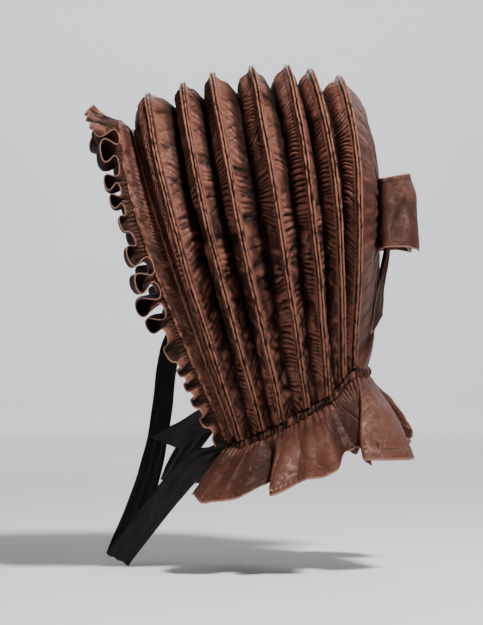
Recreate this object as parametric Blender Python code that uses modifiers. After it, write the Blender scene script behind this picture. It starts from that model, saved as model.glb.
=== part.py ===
"""A calash: a folding hood of gathered brown silk, held out by arched cane hoops.

Metres, +Z up. The face opening looks towards -X, the nape is towards +X, and the
plane Y = 0 halves the hood. The origin is where the crown of the wearer's head sits.
"""

import math

import bmesh
import bpy
import numpy as np
from mathutils import Vector

# Driving dimensions, in metres
HOOD_LENGTH = 0.250  # front of the brim to the back panel
CROWN_RISE = 0.097  # wearer's crown to the highest hoop
NECK_DROP = 0.291  # wearer's crown down to the front of the neckline
HOOD_WIDTH = 0.280  # across the widest hoop
NECK_WIDTH = 0.140  # across the neckline
SILK = 0.0017  # wall of the gathered silk
FOLD_DEPTH = 0.023  # how far the silk sinks between two hoops
FOOT_FOLD = 0.005  # the same at the neckline
CASING_WIDTH = 0.0058  # flat strip of silk under a pair of canes
CANE_RADIUS = 0.0019
THIN_CANE_RADIUS = 0.0013  # the single cane at the front of the hood
SEAT = 0.0003  # clearance between pieces sewn to each other
HEM_SEAT = 0.0015  # clearance above and below the drawn neckline
FRILL_SEAT = 0.0008  # clearance between the ruffled frill and the brim
CANE_END = 0.003  # how far the canes stop short of the neckline
FRILL_WIDTH = 0.038  # at the top of the face opening
FRILL_WAVE = 0.0065
FRILL_FLARE = math.radians(20)
FRILL_DROOP = 0.38  # how far the frill bends down over the forehead, as a share of its width
BAND_WIDTH = 0.011
BAND_HEIGHT = 0.009
CURTAIN_WIDTH = 0.092  # the ruffle below the neckline
CURTAIN_SILK = 0.0012
BACK_BULGE = 0.019  # how far the back panel stands behind the last hoop
NAPE_BULGE = 0.009  # the same, along the neckline
BACK_PLEAT = 0.0012
BOW_LEVEL = 0.49  # height of the knot below the last hoop's crown, as a share of the hoop
BOW_SPAN = 0.170
BOW_WIDTH = 0.079  # width of the silk band that the bow is tied from
BOW_DEPTH = 0.040
BOW_LEAN = 0.18  # how far a loop's lower edge reaches beyond its middle, as a share of its reach
BOW_SILK = 0.0012
BOW_TAIL = 0.116
BOW_TAIL_WIDTH = 0.042
KNOT_WIDTH = 0.030
KNOT_HEIGHT = 0.028
KNOT_DEPTH = 0.016
RIBBON_WIDTH = 0.027
RIBBON_SILK = 0.0010

# Shape of a hoop, as shares of its height below its crown
WIDEST = 0.46
ROUNDNESS = 2.25
TAPER = 1.7
BOW_GAIN = 4.7  # with BOW_FADE, turns a hoop's bow into its bend seen from the side
BOW_FADE = 1.5

ARCH_STEPS = 26
BACK_STEPS = 6
FRILL_STEPS = 112
CURTAIN_STEPS = 82

# One row for each arch, front to back. crest_x, foot_x and bow are shares of
# HOOD_LENGTH, crest_z of CROWN_RISE, foot_z of NECK_DROP, spread of half
# HOOD_WIDTH, foot_spread of half NECK_WIDTH.
ARCH_COLUMNS = ("name", "crest_x", "crest_z", "foot_x", "foot_z", "bow", "spread", "foot_spread")
ARCH_TABLE = (
    ("brim_edge", -0.520, 0.397, -0.078, 0.997, -0.068, 0.84, 0.87),
    ("front_cane", -0.466, 0.300, -0.053, 0.986, -0.016, 0.80, 0.88),
    ("hoop_1", -0.410, 0.687, -0.020, 1.000, -0.036, 0.92, 0.91),
    ("hoop_2", -0.262, 0.804, 0.071, 0.965, -0.034, 0.96, 0.96),
    ("hoop_3", -0.139, 0.911, 0.154, 0.934, -0.018, 0.985, 0.99),
    ("hoop_4", 0.025, 0.987, 0.255, 0.885, 0.006, 1.00, 0.99),
    ("hoop_5", 0.173, 0.997, 0.343, 0.843, 0.022, 0.985, 0.94),
    ("hoop_6", 0.270, 0.955, 0.410, 0.778, 0.044, 0.945, 0.83),
    ("hoop_7", 0.393, 0.879, 0.454, 0.745, 0.048, 0.885, 0.71),
)

# Silk between two hoops, front to back: how far across the gap each line of the
# fold lies, and how deep it is as a share of the fold's depth there.
FOLD_COLUMNS = ("across", "depth")
FOLD_TABLE = (
    (0.34, 0.48),
    (0.57, 1.00),
    (0.74, 0.36),
)

# Width of the face frill: how far below the crown, as a share of the brim's height,
# and how wide there, as a share of FRILL_WIDTH.
FRILL_COLUMNS = ("share", "width")
FRILL_TABLE = (
    (0.00, 1.00),
    (0.12, 0.95),
    (0.27, 0.70),
    (0.50, 0.74),
    (0.65, 0.48),
    (0.80, 0.36),
    (1.00, 0.36),
)

# Hem of the ruffle below the neckline, from the near front corner round the nape to
# the far one. at is the share of the neckline, the rest are shares of CURTAIN_WIDTH.
CURTAIN_COLUMNS = ("at", "out", "down", "forward")
CURTAIN_TABLE = (
    (0.000, 0.30, 0.50, 0.33),
    (0.040, 0.62, 0.56, 0.26),
    (0.080, 0.68, 0.60, 0.14),
    (0.115, 0.34, 0.52, 0.08),
    (0.155, 0.70, 0.60, 0.04),
    (0.200, 0.62, 0.62, -0.02),
    (0.245, 0.70, 0.62, -0.06),
    (0.285, 0.34, 0.52, -0.08),
    (0.330, 0.66, 0.70, -0.04),
    (0.375, 0.40, 0.58, 0.00),
    (0.425, 0.58, 0.72, 0.02),
    (0.465, 0.34, 0.60, 0.02),
    (0.505, 0.46, 0.66, 0.00),
    (0.550, 0.32, 0.60, 0.00),
    (0.595, 0.58, 0.70, 0.00),
    (0.640, 0.38, 0.58, -0.02),
    (0.680, 0.66, 0.68, -0.06),
    (0.720, 0.34, 0.54, -0.08),
    (0.765, 0.68, 0.63, -0.05),
    (0.815, 0.64, 0.60, 0.00),
    (0.860, 0.36, 0.52, 0.06),
    (0.905, 0.68, 0.60, 0.14),
    (0.955, 0.60, 0.56, 0.26),
    (1.000, 0.30, 0.50, 0.33),
)

# Centre lines of the black ribbons, hand-placed: x, y and z as shares of HOOD_LENGTH,
# NECK_WIDTH and NECK_DROP, then the direction in which the ribbon's width lies. Their
# sewn ends are worked out from the hood.
BRIDLE_ROUTE = (
    ((-0.1840, -0.3429, -1.0687), (0.84, -0.08, -0.54)),
    ((-0.3120, -0.2429, -1.1890), (0.82, -0.04, -0.57)),
    ((-0.4320, -0.1286, -1.3196), (0.85, 0.00, -0.53)),
    ((-0.5200, -0.0429, -1.4192), (0.89, 0.00, -0.46)),
    ((-0.5280, 0.0071, -1.4330), (0.90, 0.00, -0.44)),
    ((-0.5160, 0.0571, -1.4021), (0.91, 0.10, -0.40)),
    ((-0.4480, 0.1571, -1.2577), (0.92, 0.30, -0.24)),
    ((-0.3880, 0.2857, -1.0859), (0.84, 0.52, -0.12)),
    ((-0.3520, 0.4143, -0.9003), (0.80, 0.60, -0.02)),
    ((-0.3320, 0.5571, -0.7423), (0.82, 0.52, 0.10)),
    ((-0.2960, 0.6571, -0.6323), (0.88, 0.30, 0.20)),
)
NEAR_TIE_ROUTE = (
    ((-0.1880, -0.3786, -0.9416), (0.20, 0.10, -0.95)),
    ((-0.2640, -0.3071, -0.9794), (0.00, 0.00, -0.99)),
    ((-0.3400, -0.2571, -1.0172), (0.50, 0.00, -0.86)),
)
FAR_TIE_ROUTE = (
    ((-0.1880, 0.3571, -0.9828), (0.45, 0.20, -0.85)),
    ((-0.2640, 0.1571, -1.0722), (0.50, 0.60, -0.60)),
    ((-0.3280, 0.0000, -1.1615), (0.40, 0.80, -0.35)),
)
# Where the ribbons are sewn inside the brim, in arch steps up from its near or far foot.
BRIDLE_STEP = 5.2
TIE_STEP = 0.95

SILK_BROWN = ("brown_silk", (0.130, 0.046, 0.030), 0.50)
CASING_BROWN = ("brown_casing", (0.175, 0.070, 0.045), 0.45)
RIBBON_BLACK = ("black_ribbon", (0.014, 0.012, 0.012), 0.55)


def rows_of(columns, table):
    """The rows of a table as dictionaries that carry the columns' names."""
    return [dict(zip(columns, row)) for row in table]


def ease(low, high, x):
    """0 below low, 1 above high and smooth between them."""
    t = np.clip((np.asarray(x, float) - low) / (high - low), 0.0, 1.0)
    return t * t * (3.0 - 2.0 * t)


def unit(vectors):
    return vectors / np.linalg.norm(vectors, axis=-1, keepdims=True)


def spaced(line, count):
    """count points evenly spaced along a polyline; extra columns are carried along."""
    steps = np.linalg.norm(np.diff(line[:, :3], axis=0), axis=1)
    along = np.concatenate([[0.0], np.cumsum(steps)])
    wanted = np.linspace(0.0, along[-1], count)
    return np.stack([np.interp(wanted, along, column) for column in line.T], axis=1)


def smooth_line(points, count):
    """A curve through hand-placed points, as count evenly spaced points."""
    points = np.asarray(points, float)
    padded = np.vstack([2 * points[0] - points[1], points, 2 * points[-1] - points[-2]])
    line = []
    for before, here, there, after in zip(padded, padded[1:], padded[2:], padded[3:]):
        for t in np.linspace(0.0, 1.0, 12, endpoint=False):
            line.append(
                0.5
                * (
                    2 * here
                    + (there - before) * t
                    + (2 * before - 5 * here + 4 * there - after) * t**2
                    + (3 * here - before - 3 * there + after) * t**3
                )
            )
    line.append(points[-1])
    return spaced(np.array(line), count)


def finish(blender_mesh, name, look, collection):
    """A named object with its own material, shaded smooth up to a crease."""
    obj = bpy.data.objects.new(name, blender_mesh)
    collection.objects.link(obj)
    material_name, colour, roughness = look
    material = bpy.data.materials.new(f"{name}_{material_name}")
    material.use_nodes = True
    shader = material.node_tree.nodes["Principled BSDF"]
    shader.inputs["Base Color"].default_value = (*colour, 1.0)
    shader.inputs["Roughness"].default_value = roughness
    shader.inputs["Metallic"].default_value = 0.0
    obj.data.materials.append(material)
    obj.data.shade_smooth()
    obj.data.set_sharp_from_angle(angle=math.radians(50))
    return obj


def grid_bmesh(points):
    """A grid primitive whose vertices are moved to points, an array (rows, columns, 3)."""
    rows, columns, _ = points.shape
    bm = bmesh.new()
    bmesh.ops.create_grid(bm, x_segments=columns - 1, y_segments=rows - 1, size=1.0)
    bm.verts.ensure_lookup_table()
    for vertex, place in zip(bm.verts, points.reshape(-1, 3)):
        vertex.co = Vector(place)
    return bm


def cloth(name, points, thickness, look, collection, closed=False, offset=-1.0, even=True):
    """A sheet of silk: an open surface through points, with its thickness behind it."""
    bm = grid_bmesh(points)
    if closed:
        bmesh.ops.remove_doubles(bm, verts=bm.verts, dist=1e-5)
    mesh = bpy.data.meshes.new(name)
    bm.to_mesh(mesh)
    bm.free()
    obj = finish(mesh, name, look, collection)
    wall = obj.modifiers.new("wall", "SOLIDIFY")
    wall.thickness = thickness
    wall.offset = offset
    wall.use_even_offset = even
    return obj


def loft(name, rings, look, collection):
    """A solid through closed section rings, an array (rings, points, 3), capped at both ends."""
    bm = grid_bmesh(np.concatenate([rings, rings[:, :1]], axis=1))
    bmesh.ops.remove_doubles(bm, verts=bm.verts, dist=1e-6)
    bmesh.ops.holes_fill(bm, edges=bm.edges)
    bmesh.ops.recalc_face_normals(bm, faces=bm.faces)
    mesh = bpy.data.meshes.new(name)
    bm.to_mesh(mesh)
    bm.free()
    return finish(mesh, name, look, collection)


class Arch:
    """One arch of the hood, from the near foot over the crown to the far foot.

    points lie on the outside of the cane, share is the height below the crown as a
    share of the arch's height, and along, across and outward are unit directions.
    """

    def __init__(self, row):
        self.name = row["name"]
        self.row = row
        half_width = row["spread"] * HOOD_WIDTH / 2
        foot_width = row["foot_spread"] * NECK_WIDTH / 2
        turn = np.linspace(0.0, math.pi / 2, 60)
        lower = np.linspace(WIDEST, 1.0, 60)[1:]
        taper = ((lower - WIDEST) / (1.0 - WIDEST)) ** TAPER
        share = np.concatenate([WIDEST * (1.0 - np.cos(turn) ** (2 / ROUNDNESS)), lower])
        width = np.concatenate(
            [
                half_width * np.sin(turn) ** (2 / ROUNDNESS),
                half_width - (half_width - foot_width) * taper,
            ]
        )
        x, z = self.side_line(share)
        half = np.stack([x, -width, z, share], axis=1)
        far = half[1:] * np.array([1.0, -1.0, 1.0, 1.0])
        line = spaced(np.concatenate([half[::-1], far]), ARCH_STEPS + 1)
        self.points = line[:, :3]
        self.share = line[:, 3]
        self.along = unit(np.gradient(self.points, axis=0))

    def side_line(self, share):
        """x and z of the arch seen from the side, at a share of its height."""
        row = self.row
        crest = np.array([row["crest_x"] * HOOD_LENGTH, row["crest_z"] * CROWN_RISE])
        foot = np.array([row["foot_x"] * HOOD_LENGTH, -row["foot_z"] * NECK_DROP])
        bow = BOW_GAIN * row["bow"] * HOOD_LENGTH * share * (1.0 - share) ** BOW_FADE
        return crest[0] + (foot[0] - crest[0]) * share + bow, crest[1] + (foot[1] - crest[1]) * share

    def set_directions(self, before, after):
        """across points from the arch in front to the arch behind, along the silk."""
        across = after.points - before.points
        across = across - (across * self.along).sum(axis=1, keepdims=True) * self.along
        self.across = unit(across)
        self.outward = unit(np.cross(self.across, self.along))

    def cane_rise(self):
        """Height of the cane or canes above the silk that they lie on."""
        if self.name == "brim_edge":
            return 0.0
        radius = THIN_CANE_RADIUS if self.name == "front_cane" else CANE_RADIUS
        return 2 * radius + SEAT

    def casing(self):
        """The two edges of the strip of silk under the canes."""
        base = self.points - self.outward * self.cane_rise()
        if self.name == "brim_edge":
            return [base]
        half = self.across * CASING_WIDTH / 2
        if self.name == "front_cane":
            half = half * (THIN_CANE_RADIUS + SEAT) * 2 / CASING_WIDTH
        return [base - half, base + half]


def arches():
    made = [Arch(row) for row in rows_of(ARCH_COLUMNS, ARCH_TABLE)]
    for i, arch in enumerate(made):
        arch.set_directions(made[max(i - 1, 0)], made[min(i + 1, len(made) - 1)])
    return made


def fold_depth(share):
    """Depth of the silk's fold between hoops, at a share of the height below the crown."""
    fade = ease(0.55, 1.0, share)
    return FOLD_DEPTH * (1.0 - fade) + FOOT_FOLD * fade


def neck_height(made, x):
    """Height of the neckline, which runs straight from hoop foot to hoop foot."""
    feet = np.array([arch.points[0] for arch in made])
    return np.interp(x, feet[:, 0], feet[:, 2])


def hood_lines(made):
    """Lines of the silk cover, front to back, each as long as an arch."""
    lines = []
    for arch, behind in zip(made, made[1:]):
        lines += arch.casing()
        start, end = lines[-1], behind.casing()[0]
        outward = unit(arch.outward + behind.outward)
        depth = fold_depth((arch.share + behind.share) / 2)[:, None]
        if behind.name == "front_cane":
            lines.append((start + end) / 2 + outward * SILK)
            continue
        if arch.name == "front_cane":
            for across, lift in ((0.30, 0.28), (0.66, 0.20)):
                lines.append(start + (end - start) * across + outward * depth * lift)
            continue
        for fold in rows_of(FOLD_COLUMNS, FOLD_TABLE):
            level = start + (end - start) * fold["across"]
            lines.append(level - outward * depth * fold["depth"])
    lines += made[-1].casing()
    lines = np.array(lines)
    for end, inner in ((0, 1), (-1, -2)) * 3:
        step = lines[:, end] - lines[:, inner]
        short = neck_height(made, lines[:, end, 0]) - lines[:, end, 2]
        lines[:, end] += step * (short / step[:, 2])[:, None]
    return lines


def neck_points(made):
    """The neckline under the silk's lower edge, near front corner to far front corner."""
    inset = CANE_RADIUS * 2 + SEAT + FOOT_FOLD / 2
    feet = np.array([arch.points[0] for arch in made])
    under = feet - np.array([arch.outward[0] for arch in made]) * inset
    near = np.stack([feet[:, 0], np.interp(feet[:, 0], under[:, 0], under[:, 1]), feet[:, 2]], axis=1)
    turn = np.linspace(0.0, math.pi, BACK_STEPS + 2)[1:-1]
    last = near[-1]
    nape = np.stack(
        [
            last[0] + CASING_WIDTH / 2 + NAPE_BULGE * np.sin(turn),
            last[1] * np.cos(turn),
            np.full(len(turn), last[2]),
        ],
        axis=1,
    )
    return np.concatenate([near, nape, near[::-1] * np.array([1.0, -1.0, 1.0])])


def outward_in_plan(line):
    """Horizontal unit directions away from the neck, for points along the neckline."""
    step = np.gradient(line, axis=0)
    side = np.stack([step[:, 1], -step[:, 0], np.zeros(len(line))], axis=1)
    return unit(side)


def make_hood_cover(made, collection):
    lines = hood_lines(made)
    # Even walls would stand out as spikes along the sharp creases.
    cloth("hood_cover", lines[::-1], SILK, SILK_BROWN, collection, even=False)


def make_hoop(arch, collection):
    """A pair of canes side by side, or the single thin one, as one solid."""
    thin = arch.name == "front_cane"
    radius = THIN_CANE_RADIUS if thin else CANE_RADIUS
    reach = THIN_CANE_RADIUS if thin else CASING_WIDTH / 2
    # One row for each corner of the section: share of the reach, share of the height.
    corners = (
        (-1.0, 0.55),
        (-0.62, 1.0),
        (0.0, 0.72),
        (0.62, 1.0),
        (1.0, 0.55),
        (0.7, 0.0),
        (-0.7, 0.0),
    )
    base = arch.points - arch.outward * 2 * radius
    rings = np.stack(
        [
            base + arch.across * reach * side + arch.outward * 2 * radius * height
            for side, height in corners
        ],
        axis=1,
    )
    lift = CANE_END / np.linalg.norm(arch.points[1] - arch.points[0])
    rings[0] = rings[0] + (rings[1] - rings[0]) * lift
    rings[-1] = rings[-1] + (rings[-2] - rings[-1]) * lift
    loft(arch.name, rings, CASING_BROWN, collection)


def back_centre(made):
    """The middle of the back panel, where its gathers meet under the bow."""
    last = made[-1]
    crown = last.points[len(last.points) // 2]
    foot = last.points[0]
    level = crown + (foot - crown) * BOW_LEVEL
    return np.array([last.points[:, 0].max() + CASING_WIDTH / 2 + BACK_BULGE, 0.0, level[2]])


def back_rim(made):
    """The edge of the back panel: behind the last hoop, then along the nape."""
    last = made[-1]
    arch_edge = last.casing()[1] + last.across * SEAT * 1.5
    nape = neck_points(made)[len(made) : len(made) + BACK_STEPS]
    nape[:, 2] = last.points[0, 2] + SEAT
    return np.concatenate([arch_edge, nape[::-1], arch_edge[:1]])


def make_back_panel(made, collection):
    """A round panel drawn in to its middle, with a fold at each gather."""
    rim, centre = back_rim(made), back_centre(made)
    # One row for each ring: share of the way out, share of the bulge, of the pleat.
    rings = ((0.0, 1.0, 0.0), (0.28, 0.96, 0.8), (0.58, 0.82, 1.0), (0.84, 0.55, 1.0), (1.0, 0.0, 0.0))
    pleat = np.where(np.arange(len(rim)) % 2 == 0, 1.0, -1.0)
    pleat[-1] = pleat[0]
    rows = []
    for out, bulge, fold in rings:
        flat = centre + (rim - centre) * out
        wanted = rim[:, 0] + (centre[0] - rim[:, 0]) * bulge
        flat[:, 0] = wanted + BACK_PLEAT * fold * pleat
        rows.append(flat)
    rows[0][:] = centre
    cloth("back_panel", np.array(rows), SILK, SILK_BROWN, collection, closed=True, offset=1.0)


def along_arch(arch, values, count):
    """values at the arch's points, read again at count places along it."""
    steps = np.linspace(0, len(values) - 1, count)
    return np.stack([np.interp(steps, np.arange(len(values)), column) for column in values.T], axis=1)


def make_frill(made, collection):
    """The ruffle round the face: it leaves the front edge and waves in and out."""
    edge = made[0]
    count = FRILL_STEPS + 1
    root = along_arch(edge, edge.points - edge.across * FRILL_SEAT, count)
    across = along_arch(edge, edge.across, count)
    outward = along_arch(edge, edge.outward, count)
    share = along_arch(edge, edge.share[:, None], count)
    table = rows_of(FRILL_COLUMNS, FRILL_TABLE)
    at, widths = [row["share"] for row in table], [row["width"] for row in table]
    width = FRILL_WIDTH * eased_between(share, at, widths)
    brow = 1.0 - ease(0.05, 0.40, share)
    droop = np.array([0.0, 0.0, -1.0]) * FRILL_DROOP * brow
    wave = np.array([0.0, 1.0, 0.0, -1.0])[np.arange(count) % 4][:, None] * FRILL_WAVE
    fade = ease(0.0, 6.0, np.minimum(np.arange(count), count - 1 - np.arange(count)))[:, None]
    rows = []
    for out in (0.0, 0.36, 1.0):
        spread = math.sin(FRILL_FLARE) * out * out * (1.0 - 0.6 * brow)
        forward = unit(droop - across) * width * out * math.cos(FRILL_FLARE)
        bend = outward * (width * spread + wave * fade * out * ease(0.0, 0.6, out))
        rows.append(root + forward + bend)
    cloth("brim_frill", np.array(rows), CURTAIN_SILK, SILK_BROWN, collection)


def make_neck_band(made, collection):
    """The drawn casing at the neck, just below the cover's lower edge."""
    line = neck_points(made)
    outward = outward_in_plan(line)
    down = np.array([0.0, 0.0, -1.0])
    # One row for each corner of the section: shares of half the width and of the height.
    half_round = ((1.0, 0.25), (0.6, 0.0), (-0.6, 0.0), (-1.0, 0.25))
    corners = half_round + tuple((-side, 1.0 - depth) for side, depth in half_round)
    rings = np.stack(
        [
            line + outward * BAND_WIDTH / 2 * side + down * (HEM_SEAT + BAND_HEIGHT * depth)
            for side, depth in corners
        ],
        axis=1,
    )
    loft("neck_band", rings, SILK_BROWN, collection)


def make_curtain(made, collection):
    """The ruffle on the shoulders, hung from the neck band in deep folds."""
    line = spaced(neck_points(made), CURTAIN_STEPS + 1)
    outward = outward_in_plan(line)
    table = rows_of(CURTAIN_COLUMNS, CURTAIN_TABLE)
    at = [row["at"] for row in table]
    share = np.linspace(0.0, 1.0, len(line))
    hem = {
        name: eased_between(share, at, [row[name] for row in table])[:, None] * CURTAIN_WIDTH
        for name in ("out", "down", "forward")
    }
    top = line - np.array([0.0, 0.0, BAND_HEIGHT + 2.6 * HEM_SEAT])
    rows = []
    for fall in (0.0, 0.22, 0.60, 1.0):
        rows.append(
            top
            + outward * hem["out"] * fall**0.85
            - np.array([0.0, 0.0, 1.0]) * hem["down"] * fall**1.1
            - np.array([1.0, 0.0, 0.0]) * hem["forward"] * fall
        )
    cloth("neck_curtain", np.array(rows), CURTAIN_SILK, SILK_BROWN, collection)


def eased_between(wanted, at, values):
    """Values read between the rows of a table with a smooth step from row to row."""
    at, values = np.asarray(at), np.asarray(values)
    i = np.clip(np.searchsorted(at, wanted, side="right") - 1, 0, len(at) - 2)
    t = ease(0.0, 1.0, (wanted - at[i]) / (at[i + 1] - at[i]))
    return values[i] + (values[i + 1] - values[i]) * t


def make_bow(made, collection):
    """A bow at the back: a knot, a loop on each side and two hanging tails."""
    centre = back_centre(made)
    knot_back = centre[0] + SILK + SEAT + BACK_PLEAT / 4
    middle = np.array([knot_back + KNOT_DEPTH / 2, 0.0, centre[2]])
    bm = bmesh.new()
    bmesh.ops.create_cube(bm, size=1.0)
    bmesh.ops.scale(bm, vec=(KNOT_DEPTH, KNOT_WIDTH, KNOT_HEIGHT), verts=bm.verts)
    bmesh.ops.translate(bm, vec=Vector(middle), verts=bm.verts)
    bmesh.ops.bevel(
        bm,
        geom=list(bm.edges),
        offset=KNOT_DEPTH * 0.28,
        affect="EDGES",
        segments=2,
        profile=0.5,
        material=-1,
    )
    mesh = bpy.data.meshes.new("bow_knot")
    bm.to_mesh(mesh)
    bm.free()
    finish(mesh, "bow_knot", SILK_BROWN, collection)

    # One row for each station round a loop: share of its reach, of its depth, of its width.
    loop_table = (
        (0.00, 0.18, 0.34),
        (0.18, 0.04, 0.62),
        (0.50, -0.03, 0.94),
        (0.82, -0.03, 1.00),
        (0.98, 0.38, 1.00),
        (0.98, 0.72, 1.00),
        (0.80, 0.98, 1.00),
        (0.45, 0.98, 0.92),
        (0.16, 0.72, 0.60),
        (0.00, 0.52, 0.34),
    )
    reach = (BOW_SPAN - KNOT_WIDTH) / 2 - SEAT
    for side, name in ((-1.0, "bow_loop_near"), (1.0, "bow_loop_far")):
        shares = smooth_line(loop_table, 19)
        rows = []
        for edge in (-1.0, -0.35, 0.35, 1.0):
            lean = BOW_LEAN * edge * shares[:, 0]
            rows.append(
                np.stack(
                    [
                        knot_back + KNOT_DEPTH * 0.1 + BOW_DEPTH * shares[:, 1],
                        side * (KNOT_WIDTH / 2 + SEAT + reach * (shares[:, 0] - lean)),
                        np.full(len(shares), centre[2]) + BOW_WIDTH / 2 * edge * shares[:, 2],
                    ],
                    axis=1,
                )
            )
        order = rows if side < 0 else rows[::-1]
        cloth(name, np.array(order), BOW_SILK, SILK_BROWN, collection)

    # One row for each station down a tail: share of its length, of its width, step out.
    tail_table = (
        (0.00, 0.42, 0.00),
        (0.25, 0.62, 0.35),
        (0.60, 1.00, 0.10),
        (1.00, 0.92, -1.00),
    )
    drop = BOW_TAIL - KNOT_HEIGHT / 2
    for side, name in ((-1.0, "bow_tail_near"), (1.0, "bow_tail_far")):
        shares = smooth_line(tail_table, 9)
        rows = []
        for edge in (-1.0, 0.0, 1.0):
            slant = 0.16 * edge * side * (shares[:, 0] > 0.999)
            rows.append(
                np.stack(
                    [
                        middle[0] + KNOT_DEPTH * (0.3 * shares[:, 2] + 0.25 * edge * side * shares[:, 0]),
                        side * (KNOT_WIDTH * 0.24 + BOW_TAIL_WIDTH * 0.42 * shares[:, 0])
                        + BOW_TAIL_WIDTH * 0.34 * edge * shares[:, 1] * (0.3 + 0.7 * shares[:, 0]),
                        middle[2] - KNOT_HEIGHT / 2 - SEAT * 2 - drop * (shares[:, 0] + slant),
                    ],
                    axis=1,
                )
            )
        cloth(name, np.array(rows), BOW_SILK, SILK_BROWN, collection, offset=0.0)


def read_at(step, side):
    """A reader of an arch's rows, step steps up from the near (-1) or far (1) foot."""
    index = step if side < 0 else ARCH_STEPS - step

    def read(values):
        return np.array([np.interp(index, np.arange(len(values)), column) for column in values.T])

    return read


def brim_place(made, side, back):
    """A place inside the brim, and the way down along it.

    back is how far it lies from the edge to the front cane, as a share.
    """
    edge, cane = made[0], made[1].casing()[0]
    read = read_at(TIE_STEP, side)
    chord = read(edge.points + (cane - edge.points) * back)
    return chord - read(edge.outward) * (SILK + SEAT + RIBBON_SILK / 2), read(edge.along) * side


def cane_place(made, side, step, lift):
    """A place under the front cane, lift further in, and the way across the silk."""
    cane = made[1]
    read = read_at(step, side)
    depth = cane.cane_rise() + SILK + SEAT + RIBBON_SILK / 2 + lift
    return read(cane.points) - read(cane.outward) * depth, read(cane.across)


def band_place(made, back, drop):
    """A place on the inner face of the neck band's near front end, and the way across."""
    line = neck_points(made)
    ahead = unit(line[1] - line[0])
    inward = -outward_in_plan(line)[0]
    place = line[0] + ahead * back + inward * (BAND_WIDTH / 2 + SEAT + RIBBON_SILK / 2)
    place = place - np.array([0.0, 0.0, HEM_SEAT + drop])
    return place, unit(ahead * 0.85 - np.array([0.0, 0.0, 0.53]))


def placed(route):
    """A hand-placed route in metres."""
    size = np.array([HOOD_LENGTH, NECK_WIDTH, NECK_DROP])
    return [(np.array(place) * size, turn) for place, turn in route]


def make_ribbon(name, route, steps, collection):
    """A black silk ribbon along hand-placed points."""
    line = smooth_line([[*place, *turn] for place, turn in route], steps + 1)
    middle, turn = line[:, :3], unit(line[:, 3:])
    half = turn * RIBBON_WIDTH / 2
    cloth(name, np.array([middle - half, middle + half]), RIBBON_SILK, RIBBON_BLACK, collection, offset=0.0)


def make_ribbons(made, collection):
    """The long bridle loop that pulls the hood forward, and two short ties."""
    near = [
        band_place(made, BAND_HEIGHT, BAND_HEIGHT / 2),
        band_place(made, -BAND_HEIGHT / 2, BAND_HEIGHT * 0.8),
    ]
    # The ribbon comes up to the cane from inside, so it lies against it only at its end.
    ends = ((-0.5, 0.003), (0.0, 0.001), (0.5, 0.0))
    far = [cane_place(made, 1, BRIDLE_STEP + rise, lift) for rise, lift in ends]
    make_ribbon("bridle_ribbon", [*near, *placed(BRIDLE_ROUTE), *far], 38, collection)
    for name, side, route in (("near_tie", -1, NEAR_TIE_ROUTE), ("far_tie", 1, FAR_TIE_ROUTE)):
        sewn = [brim_place(made, side, back) for back in (0.7, 0.1)]
        make_ribbon(name, [*sewn, *placed(route)], 10, collection)


def main():
    for obj in list(bpy.data.objects):
        bpy.data.objects.remove(obj)
    collection = bpy.data.collections.new("calash")
    bpy.context.scene.collection.children.link(collection)
    made = arches()
    make_hood_cover(made, collection)
    for arch in made[1:]:
        make_hoop(arch, collection)
    make_back_panel(made, collection)
    make_frill(made, collection)
    make_neck_band(made, collection)
    make_curtain(made, collection)
    make_bow(made, collection)
    make_ribbons(made, collection)


main()
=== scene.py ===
# %% [markdown]
# # A calash in brown silk
# A calash is a tall folding hood: a tunnel of thin silk gathered over arched canes,
# which closes like a bellows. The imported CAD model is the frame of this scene. It
# gives every place and size in metres, +Z up, with the face opening towards -X and
# the bow towards +X. The crown of the wearer's head sits at the origin.

import math

import bmesh
import bpy
import numpy as np
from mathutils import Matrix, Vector


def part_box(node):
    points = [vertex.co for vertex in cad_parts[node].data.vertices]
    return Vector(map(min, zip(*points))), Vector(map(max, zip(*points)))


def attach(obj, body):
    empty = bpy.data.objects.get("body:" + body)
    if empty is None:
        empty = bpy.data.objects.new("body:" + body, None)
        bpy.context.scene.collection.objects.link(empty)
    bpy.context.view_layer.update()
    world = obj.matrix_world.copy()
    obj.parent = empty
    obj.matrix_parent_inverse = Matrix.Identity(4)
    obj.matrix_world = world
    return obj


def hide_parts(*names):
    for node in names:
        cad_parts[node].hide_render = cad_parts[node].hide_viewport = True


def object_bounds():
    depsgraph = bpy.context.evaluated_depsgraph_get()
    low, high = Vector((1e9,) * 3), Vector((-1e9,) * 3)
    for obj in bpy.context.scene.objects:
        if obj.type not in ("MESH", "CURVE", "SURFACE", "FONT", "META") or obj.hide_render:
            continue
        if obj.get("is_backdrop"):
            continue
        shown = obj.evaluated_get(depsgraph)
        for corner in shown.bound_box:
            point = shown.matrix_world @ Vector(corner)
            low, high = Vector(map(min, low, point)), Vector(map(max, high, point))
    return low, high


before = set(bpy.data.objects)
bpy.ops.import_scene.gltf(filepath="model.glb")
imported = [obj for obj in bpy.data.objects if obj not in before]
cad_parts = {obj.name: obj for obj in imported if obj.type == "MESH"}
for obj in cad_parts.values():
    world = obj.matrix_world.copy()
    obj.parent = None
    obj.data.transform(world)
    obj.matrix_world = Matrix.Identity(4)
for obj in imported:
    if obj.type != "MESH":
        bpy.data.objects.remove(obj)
cad_low, cad_high = (list(corner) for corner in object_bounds())
print("frame nodes:", len(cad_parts), "box:", cad_low, cad_high)

# %% [markdown]
# ## The camera
# The photograph is a level side view. A camera 2.8 m away keeps the near and the far
# edge of the hood in nearly the same proportion as a long lens does. The sensor is
# fitted by its height, because the picture is taller than it is wide.

# %% Camera
CAMERA_PLACE = Vector((-0.0036, -2.8, -0.1607))
VIEW_HEIGHT = 0.650
SENSOR_HEIGHT = 36.0

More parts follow.
